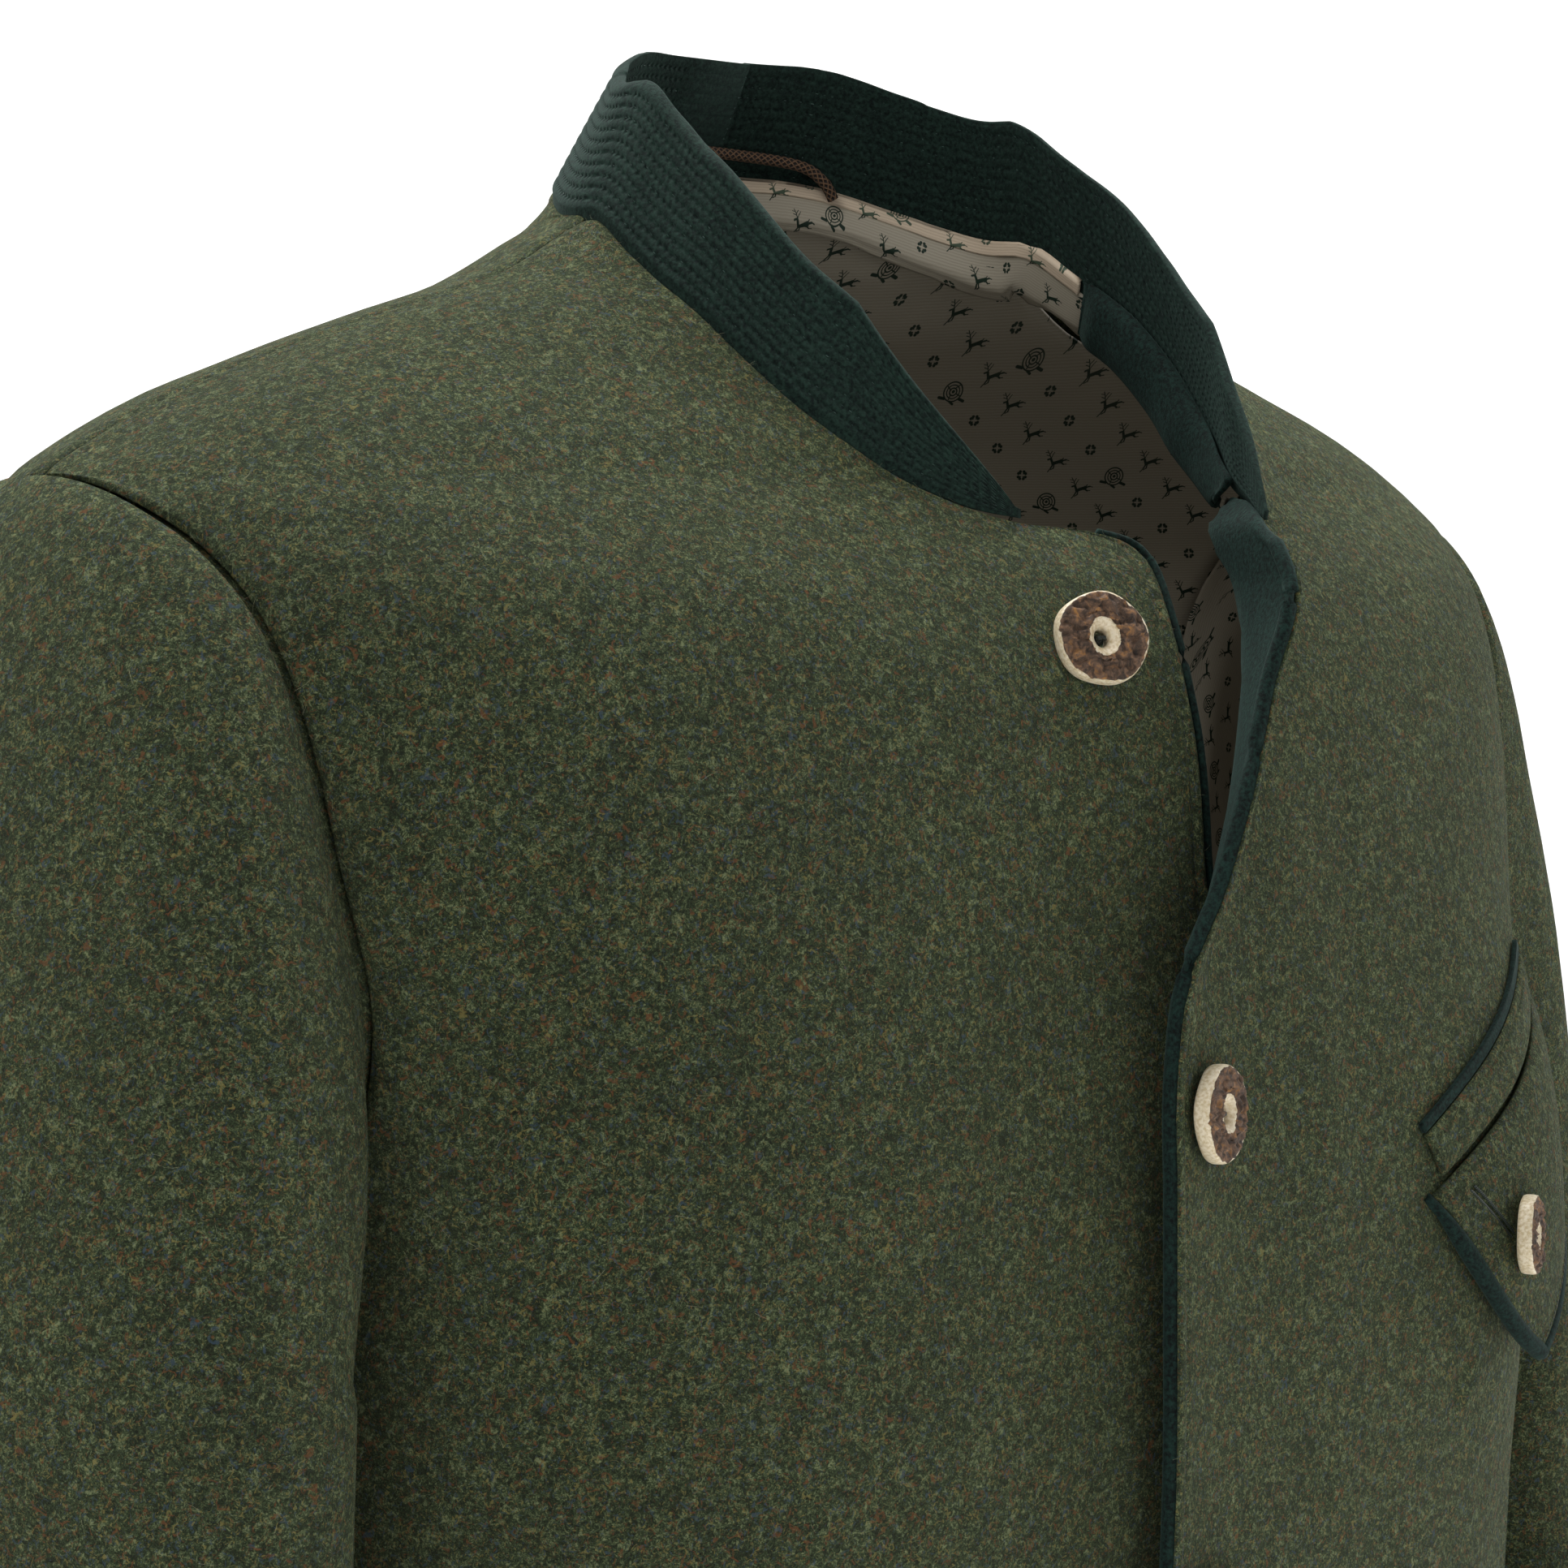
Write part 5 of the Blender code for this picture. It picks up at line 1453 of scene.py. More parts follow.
NECK_STEPS = 400
NECK_LENGTHS = lengths_of([neck_point(4 * k / NECK_STEPS) for k in range(NECK_STEPS + 1)])
NECK_TOTAL = NECK_LENGTHS[-1]
print("neck seam", round(NECK_TOTAL), "mm")


def along_neck(u):
    """Distance along the neck seam from its right end."""
    place = min(max(u, 0.0), 4.0) * NECK_STEPS / 4
    i = min(int(place), NECK_STEPS - 1)
    return NECK_LENGTHS[i] + (NECK_LENGTHS[i + 1] - NECK_LENGTHS[i]) * (place - i)


def neck_place(length):
    """The place on the neck seam at a distance along it."""
    i = min(max(bisect_right(NECK_LENGTHS, length) - 1, 0), NECK_STEPS - 1)
    return (i + (length - NECK_LENGTHS[i]) / (NECK_LENGTHS[i + 1] - NECK_LENGTHS[i])) * 4 / NECK_STEPS


def collar_frame(u):
    """Foot point, inward direction, offset of the top edge and share of the full height."""
    length = along_neck(u)
    share = length / NECK_TOTAL
    inward = neck_inward(u)
    end = min(length, NECK_TOTAL - length)
    full = min(1.0, max(0.06, (end / COLLAR_POINT) ** 0.8))
    up = Vector((0, -lean("forward", share), COLLAR_HEIGHT * lean("rise", share)))
    up += inward * lean("inward", share)
    return neck_point(u) + neck_upward(u) * COLLAR_STAND, inward, up * full, full


def beside_collar(u, rise, clearance):
    """Point inside the collar, at a height over its foot and a clearance from its inner face."""
    foot, inward, up, _ = collar_frame(u)
    return foot + up * (rise / up.z) + inward * (COLLAR_WALL + clearance)


# %% [markdown]
# Between two rows of stitching the felt swells like a pillow. The swell is a root of a sine, which
# is round on top and steep at the thread, and it is lower on the inner face, where the felt is
# pressed by the neck. Waves that grow towards the top edge keep the rim from looking turned.

# %% Collar
COLLAR_COLUMNS = 250
PER_RIB = 6
INNER_RELIEF = 0.38
RIM = 1.1                    # rise of the rolled top edge over the last row
RIM_STEPS = 6
COLLAR_SINK = 3.4            # the collar's foot is sewn this far in under the panels' edge


def pillow(share):
    """Swell of the felt between two rows of stitching, 0 at a row and 1 between."""
    return abs(sin(pi * share * COLLAR_RIBS)) ** 0.55


def collar_wave(length, share):
    """A slow unevenness of the rim, in millimetres inwards."""
    return share * share * (noise.noise(Vector((length / 34.0, 0.3, 0))) * 1.1
                            + noise.noise(Vector((length / 11.0, 4.3, 0))) * 0.3)


def collar_face(length, share, outside):
    """A point of the collar's outer or inner face and the height share it stands at."""
    foot, inward, up, full = collar_frame(neck_place(length))
    wall = COLLAR_WALL * (0.35 + 0.65 * min(1.0, full * 1.4))
    relief = (RIB_RELIEF if outside else INNER_RELIEF) * pillow(share) * min(1.0, full * 1.5)
    depth = -relief if outside else wall + relief - 0.35
    return foot + up * share + inward * (depth + collar_wave(length, share))


def collar_grid():
    steps = PER_RIB * COLLAR_RIBS
    grid, flat = [], []
    for i in range(COLLAR_COLUMNS + 1):
        t = i / COLLAR_COLUMNS
        length = NECK_TOTAL * (t - 0.03 * sin(2 * pi * t))
        full = collar_frame(neck_place(length))[3]
        outer = [collar_face(length, k / steps, True) for k in range(steps + 1)]
        inner = [collar_face(length, 1 - k / steps, False) for k in range(steps + 1)]
        sunk = neck_upward(neck_place(length)) * COLLAR_SINK * full
        across, up = inner[0] - outer[-1], (outer[-1] - outer[-3]).normalized()
        rim = [outer[-1] + across * (0.5 - 0.5 * cos(a)) + up * RIM * full * sin(a)
               for a in (pi * k / RIM_STEPS for k in range(1, RIM_STEPS))]
        grid.append([outer[0] - sunk, outer[0] - sunk * 0.5] + outer + rim + inner + [inner[-1] - sunk])
        rise = [k / steps for k in range(steps + 1)]
        heights = [0.0, 0.0] + rise + [1.0] * len(rim) + rise[::-1] + [0.0, 0.0]
        # No row is sewn along the foot or the rim, so the cut's height stops half a row short there.
        edge = 0.5 / COLLAR_RIBS
        flat.append([(length * MM, min(max(h, edge), 1 - edge) * COLLAR_HEIGHT * MM) for h in heights])
    return grid, flat


grid, flat = collar_grid()
collar = capped(cloth("quilted_collar", grid, None, COLLAR_FELT, "felt", "collar", closed=True,
                      flat=flat))


# %% [markdown]
# Running stitch shows as short lengths of thread with gaps of nearly the same length. One stitch is
# a small stretched ball. It is copied along every row on both faces in one joined mesh, with a
# little chance in its place and direction, because the rows are guided by hand.

# %% Collar stitches
def many_faces(name, points, polygons, material, slot):
    """One piece of a few thousand small loose parts."""
    mesh = bpy.data.meshes.new(name)
    mesh.from_pydata(points, [], polygons)
    bm = bmesh.new()
    bm.from_mesh(mesh)
    bpy.data.meshes.remove(mesh)
    print(name, len(polygons), "faces")
    return finish_piece(name, bm, material, slot)


def scattered(name, pattern, places, material, slot):
    """Many copies of one small mesh in one piece; pattern is a bmesh, places are matrices."""
    corners = [vert.co.copy() for vert in pattern.verts]
    faces = [[vert.index for vert in face.verts] for face in pattern.faces]
    pattern.free()
    points, polygons = [], []
    for matrix in places:
        start = len(points)
        points += [matrix @ corner for corner in corners]
        polygons += [[start + index for index in face] for face in faces]
    return many_faces(name, points, polygons, material, slot)


def stitch_pattern(length, width, height):
    """One stitch of thread, a stretched ball, with its sizes in millimetres."""
    bm = bmesh.new()
    bmesh.ops.create_icosphere(bm, subdivisions=1, radius=0.5)
    bmesh.ops.scale(bm, vec=(length * MM, width * MM, height * MM), verts=bm.verts)
    bm.verts.ensure_lookup_table()
    bm.verts.index_update()
    return bm


def turned_to(point, along, outward):
    """A matrix that lays a small mesh at a point: its x along, its z outward."""
    x = along.normalized()
    y = outward.cross(x).normalized()
    z = x.cross(y)
    return Matrix.Translation(point * MM) @ Matrix((x, y, z)).transposed().to_4x4()


def thread(name, code, sheen):
    material, shader, add = new_material(name)
    where = add("TexCoord").outputs["Object"]
    twist = add("TexNoise", {"Vector": where, "Scale": 2500, "Detail": 1.0})
    raised = add("Bump", {"Height": twist, "Strength": 0.4, "Distance": 0.0001})
    plug(shader, {"Normal": raised, "Base Color": ink(code), "Roughness": 0.45, "Sheen Weight": sheen})
    return material


COLLAR_THREAD = thread("teal quilting thread", "4d6a62", 0.3)
chance = random.Random(11)
places = []
for share in (k / COLLAR_RIBS for k in range(1, COLLAR_RIBS)):
    for outside in (True, False):
        length = 3.0 + chance.random() * STITCH
        while length < NECK_TOTAL - 3.0:
            full = collar_frame(neck_place(length))[3]
            if full > 0.2:
                here = collar_face(length, share, outside)
                along = collar_face(length + 0.6, share, outside) - here
                up = collar_face(length, share + 0.01, outside) - collar_face(length, share - 0.01, outside)
                outward = along.cross(up) * (1 if outside else -1)
                slip = Vector([chance.uniform(-0.05, 0.05) for _ in range(3)])
                places.append(turned_to(here + outward.normalized() * 0.1 + slip, along + slip, outward))
            length += STITCH
scattered("collar_stitches", stitch_pattern(1.3, 0.28, 0.22), places, COLLAR_THREAD, "felt")


# %% [markdown]
# ## Inside the neck
#
# A printed tape covers the neck seam across the back, and a shaped felt facing covers it on each
# front. Both start just inside the collar's foot, bend over the seam and lie on the lining.

# %% Neck tape and neck facings
def softened(route, steps):
    """A smooth line through the points of a route."""
    line = []
    for i in range(len(route) - 1):
        before, after = route[max(i - 1, 0)], route[min(i + 2, len(route) - 1)]
        a, b = route[i], route[i + 1]
        line += [cubic(a, (b - before) / 2, b, (after - a) / 2, k / steps) for k in range(steps)]
    return line + [route[-1]]


def seam_cover(stations, widths, rise, drapes):
    """Grid of a strip that starts a rise up the collar's foot and drapes inward from the lining."""
    grid = []
    for u, width, drape in zip(stations, widths, drapes):
        surface, height, angle = neck_station(u)
        row = [beside_collar(u, rise, STRIP_CLEARANCE), beside_collar(u, 0.0, STRIP_CLEARANCE)]
        for reach in (min(3.0, 0.45 * width), 0.5 * width + 1, width):
            if surface is back_point:
                row.append(inside(surface, height - 0.75 * reach, angle, STRIP_DEPTH))
            else:
                side = 1 if u > 2 else -1
                x = surface(height, angle).x + side * reach * 0.9
                row.append(inside(surface, height - 0.2 * reach, angle_at(height, x, 1), STRIP_DEPTH))
        row = [p + neck_inward(u) * drape * k / 4 for k, p in enumerate(row)]
        grid.append(softened(row, 4))
    return grid


STATIONS = 120
TAPE_STATIONS = [0.84 + 2.32 * k / STATIONS for k in range(STATIONS + 1)]
EDGE_STATIONS = [0.80 + 2.46 * k / STATIONS for k in range(STATIONS + 1)]
TAPE_STITCH = 2.4            # length of one stitch of the tape's edge with its gap
TAPE_SHOWN = 4.4             # width of the tape over the seam; the lining's own edge follows below


def strip_of(rows, start, end, steps):
    """The part of every row between two distances along it, end None for the row's own end."""
    result = []
    for row in rows:
        lengths = lengths_of(row)
        span = (end or lengths[-1]) - start
        result.append([point_along(row, lengths, start + span * k / steps) for k in range(steps + 1)])
    return result


def strip_flat(stations, rows, start):
    return [[(along_neck(u) * MM, -(start + d) * MM) for d in lengths_of(row)]
            for u, row in zip(stations, rows)]


def tape_cover(stations):
    waves = [0.5 * noise.noise(Vector((u * 9.0, 0.7, 0))) for u in stations]
    return seam_cover(stations, [TAPE_WIDTH + 3.0] * len(stations), TAPE_RISE, waves)


cover = tape_cover(TAPE_STATIONS)
tape_grid = strip_of(cover, 0.0, TAPE_SHOWN, 8)
tape = cloth("printed_neck_tape", tape_grid, LINING, TAPE_CLOTH_PAINTED_LIGHTER, "tape", "neck_tape",
             flat=strip_flat(TAPE_STATIONS, tape_grid, 0.0))
# The lining's edge lies a little behind the tape and the felt facings, towards the panels.
cover = tape_cover(EDGE_STATIONS)
yoke_grid = [[p - neck_inward(u) * (0.5 + 1.1 * smooth((abs(u - 2.03) - 1.11) / 0.05)) for p in row]
             for u, row in zip(EDGE_STATIONS, strip_of(cover, TAPE_SHOWN - 0.6, None, 12))]
yoke = cloth("printed_neck_edge", yoke_grid, LINING, LINING_CLOTH, "lining", "neck_tape",
             flat=strip_flat(EDGE_STATIONS, yoke_grid, TAPE_SHOWN))

# A felt facing, from the tape's end down to the collar's: place on the neck seam and width.
NECK_FACING_COLUMNS = ("share", "place", "width")
NECK_FACING = (
    (0.0, 0.82, 5), (0.1, 0.79, 12), (0.2, 0.75, 20), (0.3, 0.70, 27), (0.4, 0.62, 31), (0.5, 0.53, 31),
    (0.6, 0.44, 30), (0.7, 0.35, 28), (0.8, 0.26, 24), (0.9, 0.18, 18), (1.0, 0.12, 12),
)
NECK_FACING_ROWS = 40
FACING_DRAPE = 12.0          # how far the free edge of a facing hangs off the lining
place_at, width_at = (column(NECK_FACING, NECK_FACING_COLUMNS, name) for name in ("place", "width"))
rows = range(NECK_FACING_ROWS + 1)
for side, label in SIDES:
    stations = [place_at(k / NECK_FACING_ROWS) for k in rows]
    widths = [width_at(k / NECK_FACING_ROWS) for k in rows]
    drapes = [FACING_DRAPE * smooth(k / 8) * smooth((NECK_FACING_ROWS - k) / 14) for k in rows]
    if side > 0:
        stations = [4 - u for u in stations]
    grid = seam_cover(stations, widths, NECK_FACING_RISE, drapes)
    neck_facing = cloth("felt_neck_facing_" + label, grid, FELT, FELT_CLOTH, "felt",
                        "neck_facing_" + label, flip=side < 0)

# A line of stitching along the tape's lower edge.
TAPE_THREAD = thread("dark green thread", "1b2a22", 0.1)
tape_edge = [row[-2] for row in tape_grid]
tape_lengths = lengths_of(tape_edge)
tape_normals = [neck_inward(u) for u in TAPE_STATIONS]
places = []
for k in range(int(tape_lengths[-1] / TAPE_STITCH)):
    d = TAPE_STITCH / 2 + TAPE_STITCH * k
    i = min(bisect_right(tape_lengths, d), len(tape_normals) - 1)
    here = point_along(tape_edge, tape_lengths, d)
    ahead = point_along(tape_edge, tape_lengths, d + 0.8) - here
    places.append(turned_to(here + tape_normals[i] * 0.15, ahead, tape_normals[i]))
scattered("tape_stitches", stitch_pattern(1.9, 0.34, 0.3), places, TAPE_THREAD, "tape")


# %% [markdown]
# ## Hanging loop
#
# The loop is a braided cord sewn down at both ends under the collar. A tube follows its route, and
# two crossing waves in the material raise the strands of the braid. The same waves colour the
# hollows between the strands near black and their crowns light brown: painted shade and painted
# highlight.

# %% Hanging loop
LOOP_SIDES = 16
BRAID_PITCH = 0.0021         # metres along the cord from one crossing of its strands to the next
BRAID_STRANDS = 6            # strands that wind each way


def make_cord():
    material, shader, add = new_material("braided brown cord")
    where = add("TexCoord")
    parts = add("SeparateXYZ", {"Vector": where.outputs["UV"]})
    along = add("Math MULTIPLY", (parts.outputs["X"], 2 * pi / BRAID_PITCH))
    strands = []
    for way in (BRAID_STRANDS, -BRAID_STRANDS):
        turn = add("Math MULTIPLY_ADD", (parts.outputs["Y"], way * 2 * pi, along))
        strands.append(add("Math SINE", (turn,)))
    braid = add("Math MAXIMUM", (strands[0], strands[1]))
    # Painted shade and painted highlight: the ramp darkens the hollows between strands and lightens their
    # crowns.
    shade = add("ValToRGB", {"Fac": braid}, stops=((0.0, ink("1d1510")), (0.55, ink("4a3626")),
                                                   (1.0, ink("7a5c43"))))
    raised = add("Bump", {"Height": braid, "Strength": 0.8, "Distance": 0.0004})
    plug(shader, {"Base Color": shade, "Normal": raised, "Roughness": 0.7})
    return material


loop_path = softened([beside_collar(*place) for place in LOOP_ROUTE], 10)
loop_lengths = lengths_of(loop_path)
loop_flat = [[(d * MM, k / LOOP_SIDES) for k in range(LOOP_SIDES + 1)] for d in loop_lengths]
loop = capped(cloth("hanging_cord", round_grid(loop_path, lambda i: LOOP_DIAMETER / 2, LOOP_SIDES),
                    None, make_cord(), "cord", "hanging_loop", closed=True, flat=loop_flat))
print("loop", round(loop_lengths[-1], 1), "mm")


# %% [markdown]
# ## Staghorn buttons
#
# Each button is a slice of shed antler with its bark left on top. The bark is brown and knobbly,
# the cut wall and the countersunk hole show the pale bone under it. The bark's height is a noise
# with sharp valleys, and an attribute called bark tells the material where the brown ends.

# %% Button mesh
BUTTON_AROUND = 88
# Profile from the hole's bottom over the top to the foot of the wall: radius share, height share,
# and whether the bark lies there.
BUTTON_PROFILE = (
    (0.15, 0.00, 0), (0.16, 0.30, 0), (0.17, 0.52, 0), (0.20, 0.66, 0), (0.26, 0.78, 0),
    (0.31, 0.88, 0), (0.34, 0.95, 0.4), (0.37, 0.99, 1), (0.42, 1.00, 1), (0.47, 1.00, 1),
    (0.53, 1.00, 1), (0.59, 1.00, 1), (0.65, 1.00, 1), (0.71, 0.995, 1), (0.77, 0.99, 1),
    (0.83, 0.98, 1), (0.88, 0.96, 1), (0.925, 0.93, 1), (0.96, 0.88, 0.8), (0.985, 0.80, 0.1),
    (1.00, 0.62, 0), (1.00, 0.40, 0), (0.995, 0.20, 0), (0.97, 0.06, 0), (0.90, 0.00, 0),
    (0.50, 0.00, 0),
)


def bark_height(place, seed):
    """Knobs and furrows of antler bark, in millimetres."""
    stretched = Vector((place.x * 0.42, place.y * 0.66, seed))
    knobs = noise.noise(stretched * 1.1)
    furrows = abs(noise.noise(stretched * 2.1 + Vector((5, 0, 0))))
    return 1.3 * knobs + 1.1 * furrows - 0.5


def button_skin(name, diameter, facing, centre, seed, material):
    turn = facing.to_track_quat("Z", "Y").to_matrix()
    cols = len(BUTTON_PROFILE)
    bm = bmesh.new()
    layer = bm.verts.layers.float.new("bark")
    bmesh.ops.create_grid(bm, x_segments=cols, y_segments=BUTTON_AROUND, size=0.5)
    for vert in bm.verts:
        radius, level, bark = BUTTON_PROFILE[round((vert.co.x + 0.5) * cols) % cols]
        angle = 2 * pi * round((vert.co.y + 0.5) * BUTTON_AROUND) / BUTTON_AROUND
        uneven = 1 + 0.025 * sin(2 * angle + 0.6 + seed) + 0.018 * sin(5 * angle + seed)
        reach = radius * diameter / 2 * (uneven if radius > 0.5 else 1 + 0.18 * sin(angle) ** 2)
        flat_place = Vector((reach * cos(angle), reach * sin(angle), 0))
        height = bark_height(flat_place, seed)
        nibbled = 1 - 0.02 * bark * abs(noise.noise(flat_place * 0.9 + Vector((0, 0, seed))))
        vert[layer] = max(0.0, min(1.0, bark + 0.8 * height * (0 < bark < 1)))
        level_mm = level * BUTTON_THICKNESS + bark * height * (0.55 if radius > 0.9 else 1.0)
        tilt = 0.25 * sin(angle + seed) * radius * (level > 0.5)
        local = Vector((flat_place.x * nibbled, flat_place.y * nibbled, level_mm + tilt))
        vert.co = (centre + turn @ local) * MM
    bmesh.ops.remove_doubles(bm, verts=bm.verts, dist=1e-7)
    bmesh.ops.recalc_face_normals(bm, faces=bm.faces)
    return finish_piece("antler_" + name, bm, material, "staghorn", name)


def make_antler():
    material, shader, add = new_material("staghorn with bark")
    where = add("TexCoord").outputs["Object"]
    bark = add("Attribute", attribute_name="bark")
    grain = add("TexNoise", {"Vector": where, "Scale": 380, "Detail": 5.0, "Roughness": 0.7,
                             "Distortion": 0.8})
    browns = add("ValToRGB", {"Fac": grain}, stops=((0.34, ink("1f1610")), (0.45, ink("4b3829")),
                                                    (0.55, ink("6f5440")), (0.68, ink("a9783f"))))
    pores = add("TexNoise", {"Vector": where, "Scale": 1200, "Detail": 2.0})
    creams = add("ValToRGB", {"Fac": pores}, stops=((0.35, ink("cdb991")), (0.60, ink("e9dcc2"))))
    edge = add("Math MULTIPLY_ADD", (grain, 0.9, bark.outputs["Fac"]))
    brown_share = add("MapRange", {"Value": edge, "From Min": 0.86, "From Max": 1.0})
    colour = add("Mix", {0: brown_share, 6: creams, 7: browns}, data_type="RGBA")
    height = add("Math MULTIPLY", (grain, brown_share))
    raised = add("Bump", {"Height": height, "Strength": 0.8, "Distance": 0.0006})
    rough = add("MapRange", {"Value": brown_share, "To Min": 0.42, "To Max": 0.72})
    plug(shader, {"Base Color": colour.outputs[2], "Normal": raised, "Roughness": rough,
                  "Subsurface Weight": 0.08, "Subsurface Radius": (0.002, 0.0012, 0.0006)})
    return material


# %% [markdown]
# A button stands on a shank: a few turns of thick dark thread that leave room for the cloth of the
# other front. The thread comes up through the hole and lies across it. The unfastened top button is
# the only one sewn where its whole shank shows, and its weight makes it droop.

# %% Buttons
def on_front(side, x, height, away=0.0):
    """Point over the outer face of a front, at a place across and up."""
    return inside(front_surface(side), height, angle_at(height, x, 1), -away)


def facing_at(side, x, height):
    """Outward direction of a front at a place across and up."""
    across = on_front(side, x + 1, height) - on_front(side, x - 1, height)
    upward = on_front(side, x, height + 1) - on_front(side, x, height - 1)
    normal = across.cross(upward).normalized()
    return normal if normal.y < 0 else -normal


def sewn_button(name, diameter, seat, facing, stand, seed):
    """Button, with the thread that holds it."""
    facing = facing.normalized()
    centre = seat + facing * stand
    button_skin(name, diameter, facing, centre, seed, ANTLER)
    turn = facing.to_track_quat("Z", "Y").to_matrix()
    path = [seat - facing * 0.3, centre + facing * 1.2]
    over = []
    for side in (-1, 1):
        for shift in (-0.35, 0.35):
            across = turn @ Vector((side * 1.5, shift, 0))
            over.append([centre + facing * (BUTTON_THICKNESS * 0.45) + across * 0.75,
                         centre + facing * (BUTTON_THICKNESS * 0.62) + across * 0.25,
                         centre + facing * (BUTTON_THICKNESS * 0.2) - across * 0.3])
    shank = roll(name + "_shank", softened(path, 6), 1.45, SHANK_THREAD, "cord")
    strands = [roll(f"{name}_strand_{k}", softened(line, 4), 0.42, SHANK_THREAD, "cord")
               for k, line in enumerate(over)]
    join_pieces(shank, strands)


def join_pieces(kept, others):
    """Joins small pieces of one material into the first one."""
    bm = bmesh.new()
    bm.from_mesh(kept.data)
    for other in others:
        bm.from_mesh(other.data)
        bpy.data.objects.remove(other)
    bm.to_mesh(kept.data)
    bm.free()


ANTLER = make_antler()
SHANK_THREAD = thread("waxed dark button thread", "15201a", 0.1)


seat = on_front(-1, TOP_BUTTON_X, TOP_BUTTON_HEIGHT)
facing = facing_at(-1, TOP_BUTTON_X, TOP_BUTTON_HEIGHT) + Vector(TOP_BUTTON_LEAN)
sewn_button("button_1", BUTTON, seat, facing, TOP_BUTTON_STAND, 1.0)
# Number and height of each button on the left front.
LEFT_BUTTONS = [(n, SECOND_BUTTON_HEIGHT - BUTTON_PITCH * (n - 2)) for n in range(2, BUTTON_COUNT + 1)]
for number, height in LEFT_BUTTONS:
    sewn_button(f"button_{number}", BUTTON, on_front(1, FRONT_BUTTON_X, height),
                facing_at(1, FRONT_BUTTON_X, height), BUTTON_SEAT, 2.7 * number)


# %% [markdown]
# ## Chest pocket
#
# The slit of the pocket runs up towards the arm. A felt lip shows along its top, a band of loden
# along its bottom, and the flap hangs from under the band. The flap stands off the chest because the
# pocket bulges behind it, and its felt backing rolls over its free edges in a thick round edge.

# %% Pocket band and lip
def pocket_spot(along, below):
    """Place across and up of a point given along the pocket's slit and below it."""
    first, last = Vector(SLIT_INNER), Vector(SLIT_OUTER)
    direction = (last - first).normalized()
    return first + direction * along + Vector((direction.y, -direction.x)) * below


def band_grid(high, low, away, length, rows, cols):
    """A band along the pocket's slit, between two distances below it."""
    grid = []
    for r in range(rows + 1):
        below = high + (low - high) * r / rows
        spots = [pocket_spot(length * k / cols, below) for k in range(cols + 1)]
        grid.append([on_front(1, spot.x, spot.y, away) for spot in spots])
    return grid


SLIT_LENGTH = (Vector(SLIT_OUTER) - Vector(SLIT_INNER)).length
lip = cloth("felt_pocket_lip", band_grid(-LIP_WIDTH, -GAP, FELT + GAP, SLIT_LENGTH, 6, 60), FELT,
            FELT_CLOTH, "felt", "pocket_lip")


WELT_ROWS, WELT_COLUMNS = 26, 72


def welt_relief(r, c, point):
    top, bottom = r / WELT_ROWS * WELT_WIDTH, (1 - r / WELT_ROWS) * WELT_WIDTH
    ends = min(c, WELT_COLUMNS - c) / WELT_COLUMNS * SLIT_LENGTH
    turned = -0.8 * exp(-top / 0.6) - 0.7 * exp(-bottom / 1.0) - 0.6 * exp(-ends / 0.9)
    return turned - 0.4 * bump(top - 2.6, 1.0) + unevenness(point) * 0.6


welt_grid = pushed(band_grid(0, WELT_WIDTH, LODEN + GAP, SLIT_LENGTH, WELT_ROWS, WELT_COLUMNS),
                   welt_relief, -1)
welt = cloth("loden_pocket_band", welt_grid, LODEN, LODEN_CLOTH, "loden", "pocket_welt")


# %% [markdown]
# The flap is a four-cornered piece with a rounded tip. Its places are found between its corners,
# then lifted off the front by a stand that grows downwards. The loden and the felt are made on the
# same grid at two heights, so they stay face to face.

# %% Pocket flap
FLAP_ROWS, FLAP_COLUMNS = 64, 84
FLAP_WIDTH, FLAP_DROP = 75, 60
FLAP_SUNK = 2.2              # the flap's top edge lies this far in, under the band
FLAP_ROLL = 2.5
BUTTONHOLE = (0.115, 0.10, 0.165, 0.40)      # across and down of both ends on the flap


def flap_point(across, down, away):
    """Point over the flap: across from its inner edge, down from its top edge."""
    a, b, c, d = (pocket_spot(*corner) for corner in FLAP_CORNERS)
    spot = a.lerp(d, across).lerp(b.lerp(c, across), down)
    corner = max(0.0, min(1.0, down) * (1 - max(0.0, across)))
    spot = spot.lerp((a + b + c + d) / 4, FLAP_TIP_ROUNDING * corner ** 4)
    stand = FLAP_STAND * max(0.0, down) ** 1.3 * (1.1 - 0.5 * across)
    stand -= FLAP_SUNK * exp(-max(0.0, down) * FLAP_DROP / 4.0)
    return on_front(1, spot.x, spot.y, away + stand)


def flap_grid(away, spread, rows, cols):
    """Grid over the flap; the spread, a length, carries its free edges further out."""
    grid = []
    for r in range(rows + 1):
        down = r / rows * (1 + spread / FLAP_DROP)
        grid.append([flap_point(k / cols * (1 + 2 * spread / FLAP_WIDTH) - spread / FLAP_WIDTH, down, away)
                     for k in range(cols + 1)])
    return grid


under = FELT + GAP
over = under + GAP + LODEN


def flap_relief(r, c, point):
    down, across = r / FLAP_ROWS, c / FLAP_COLUMNS
    free = min(across * FLAP_WIDTH, (1 - across) * FLAP_WIDTH, (1 - down) * FLAP_DROP)
    rolled = -1.0 * exp(-free / 0.7) - 0.35 * bump(free - TOPSTITCH, 1.2)
    x1, y1, x2, y2 = BUTTONHOLE
    t = ((across - x1) * (x2 - x1) + (down - y1) * (y2 - y1)) / ((x2 - x1) ** 2 + (y2 - y1) ** 2)
    held = min(1.0, max(0.0, t))
    away = Vector(((across - x1 - (x2 - x1) * held) * FLAP_WIDTH,
                   (down - y1 - (y2 - y1) * held) * FLAP_DROP)).length
    hole = -1.1 * bump(away, 1.1) + 0.25 * bump(away - 2.4, 1.4)
    return rolled + hole + unevenness(point) * 0.7


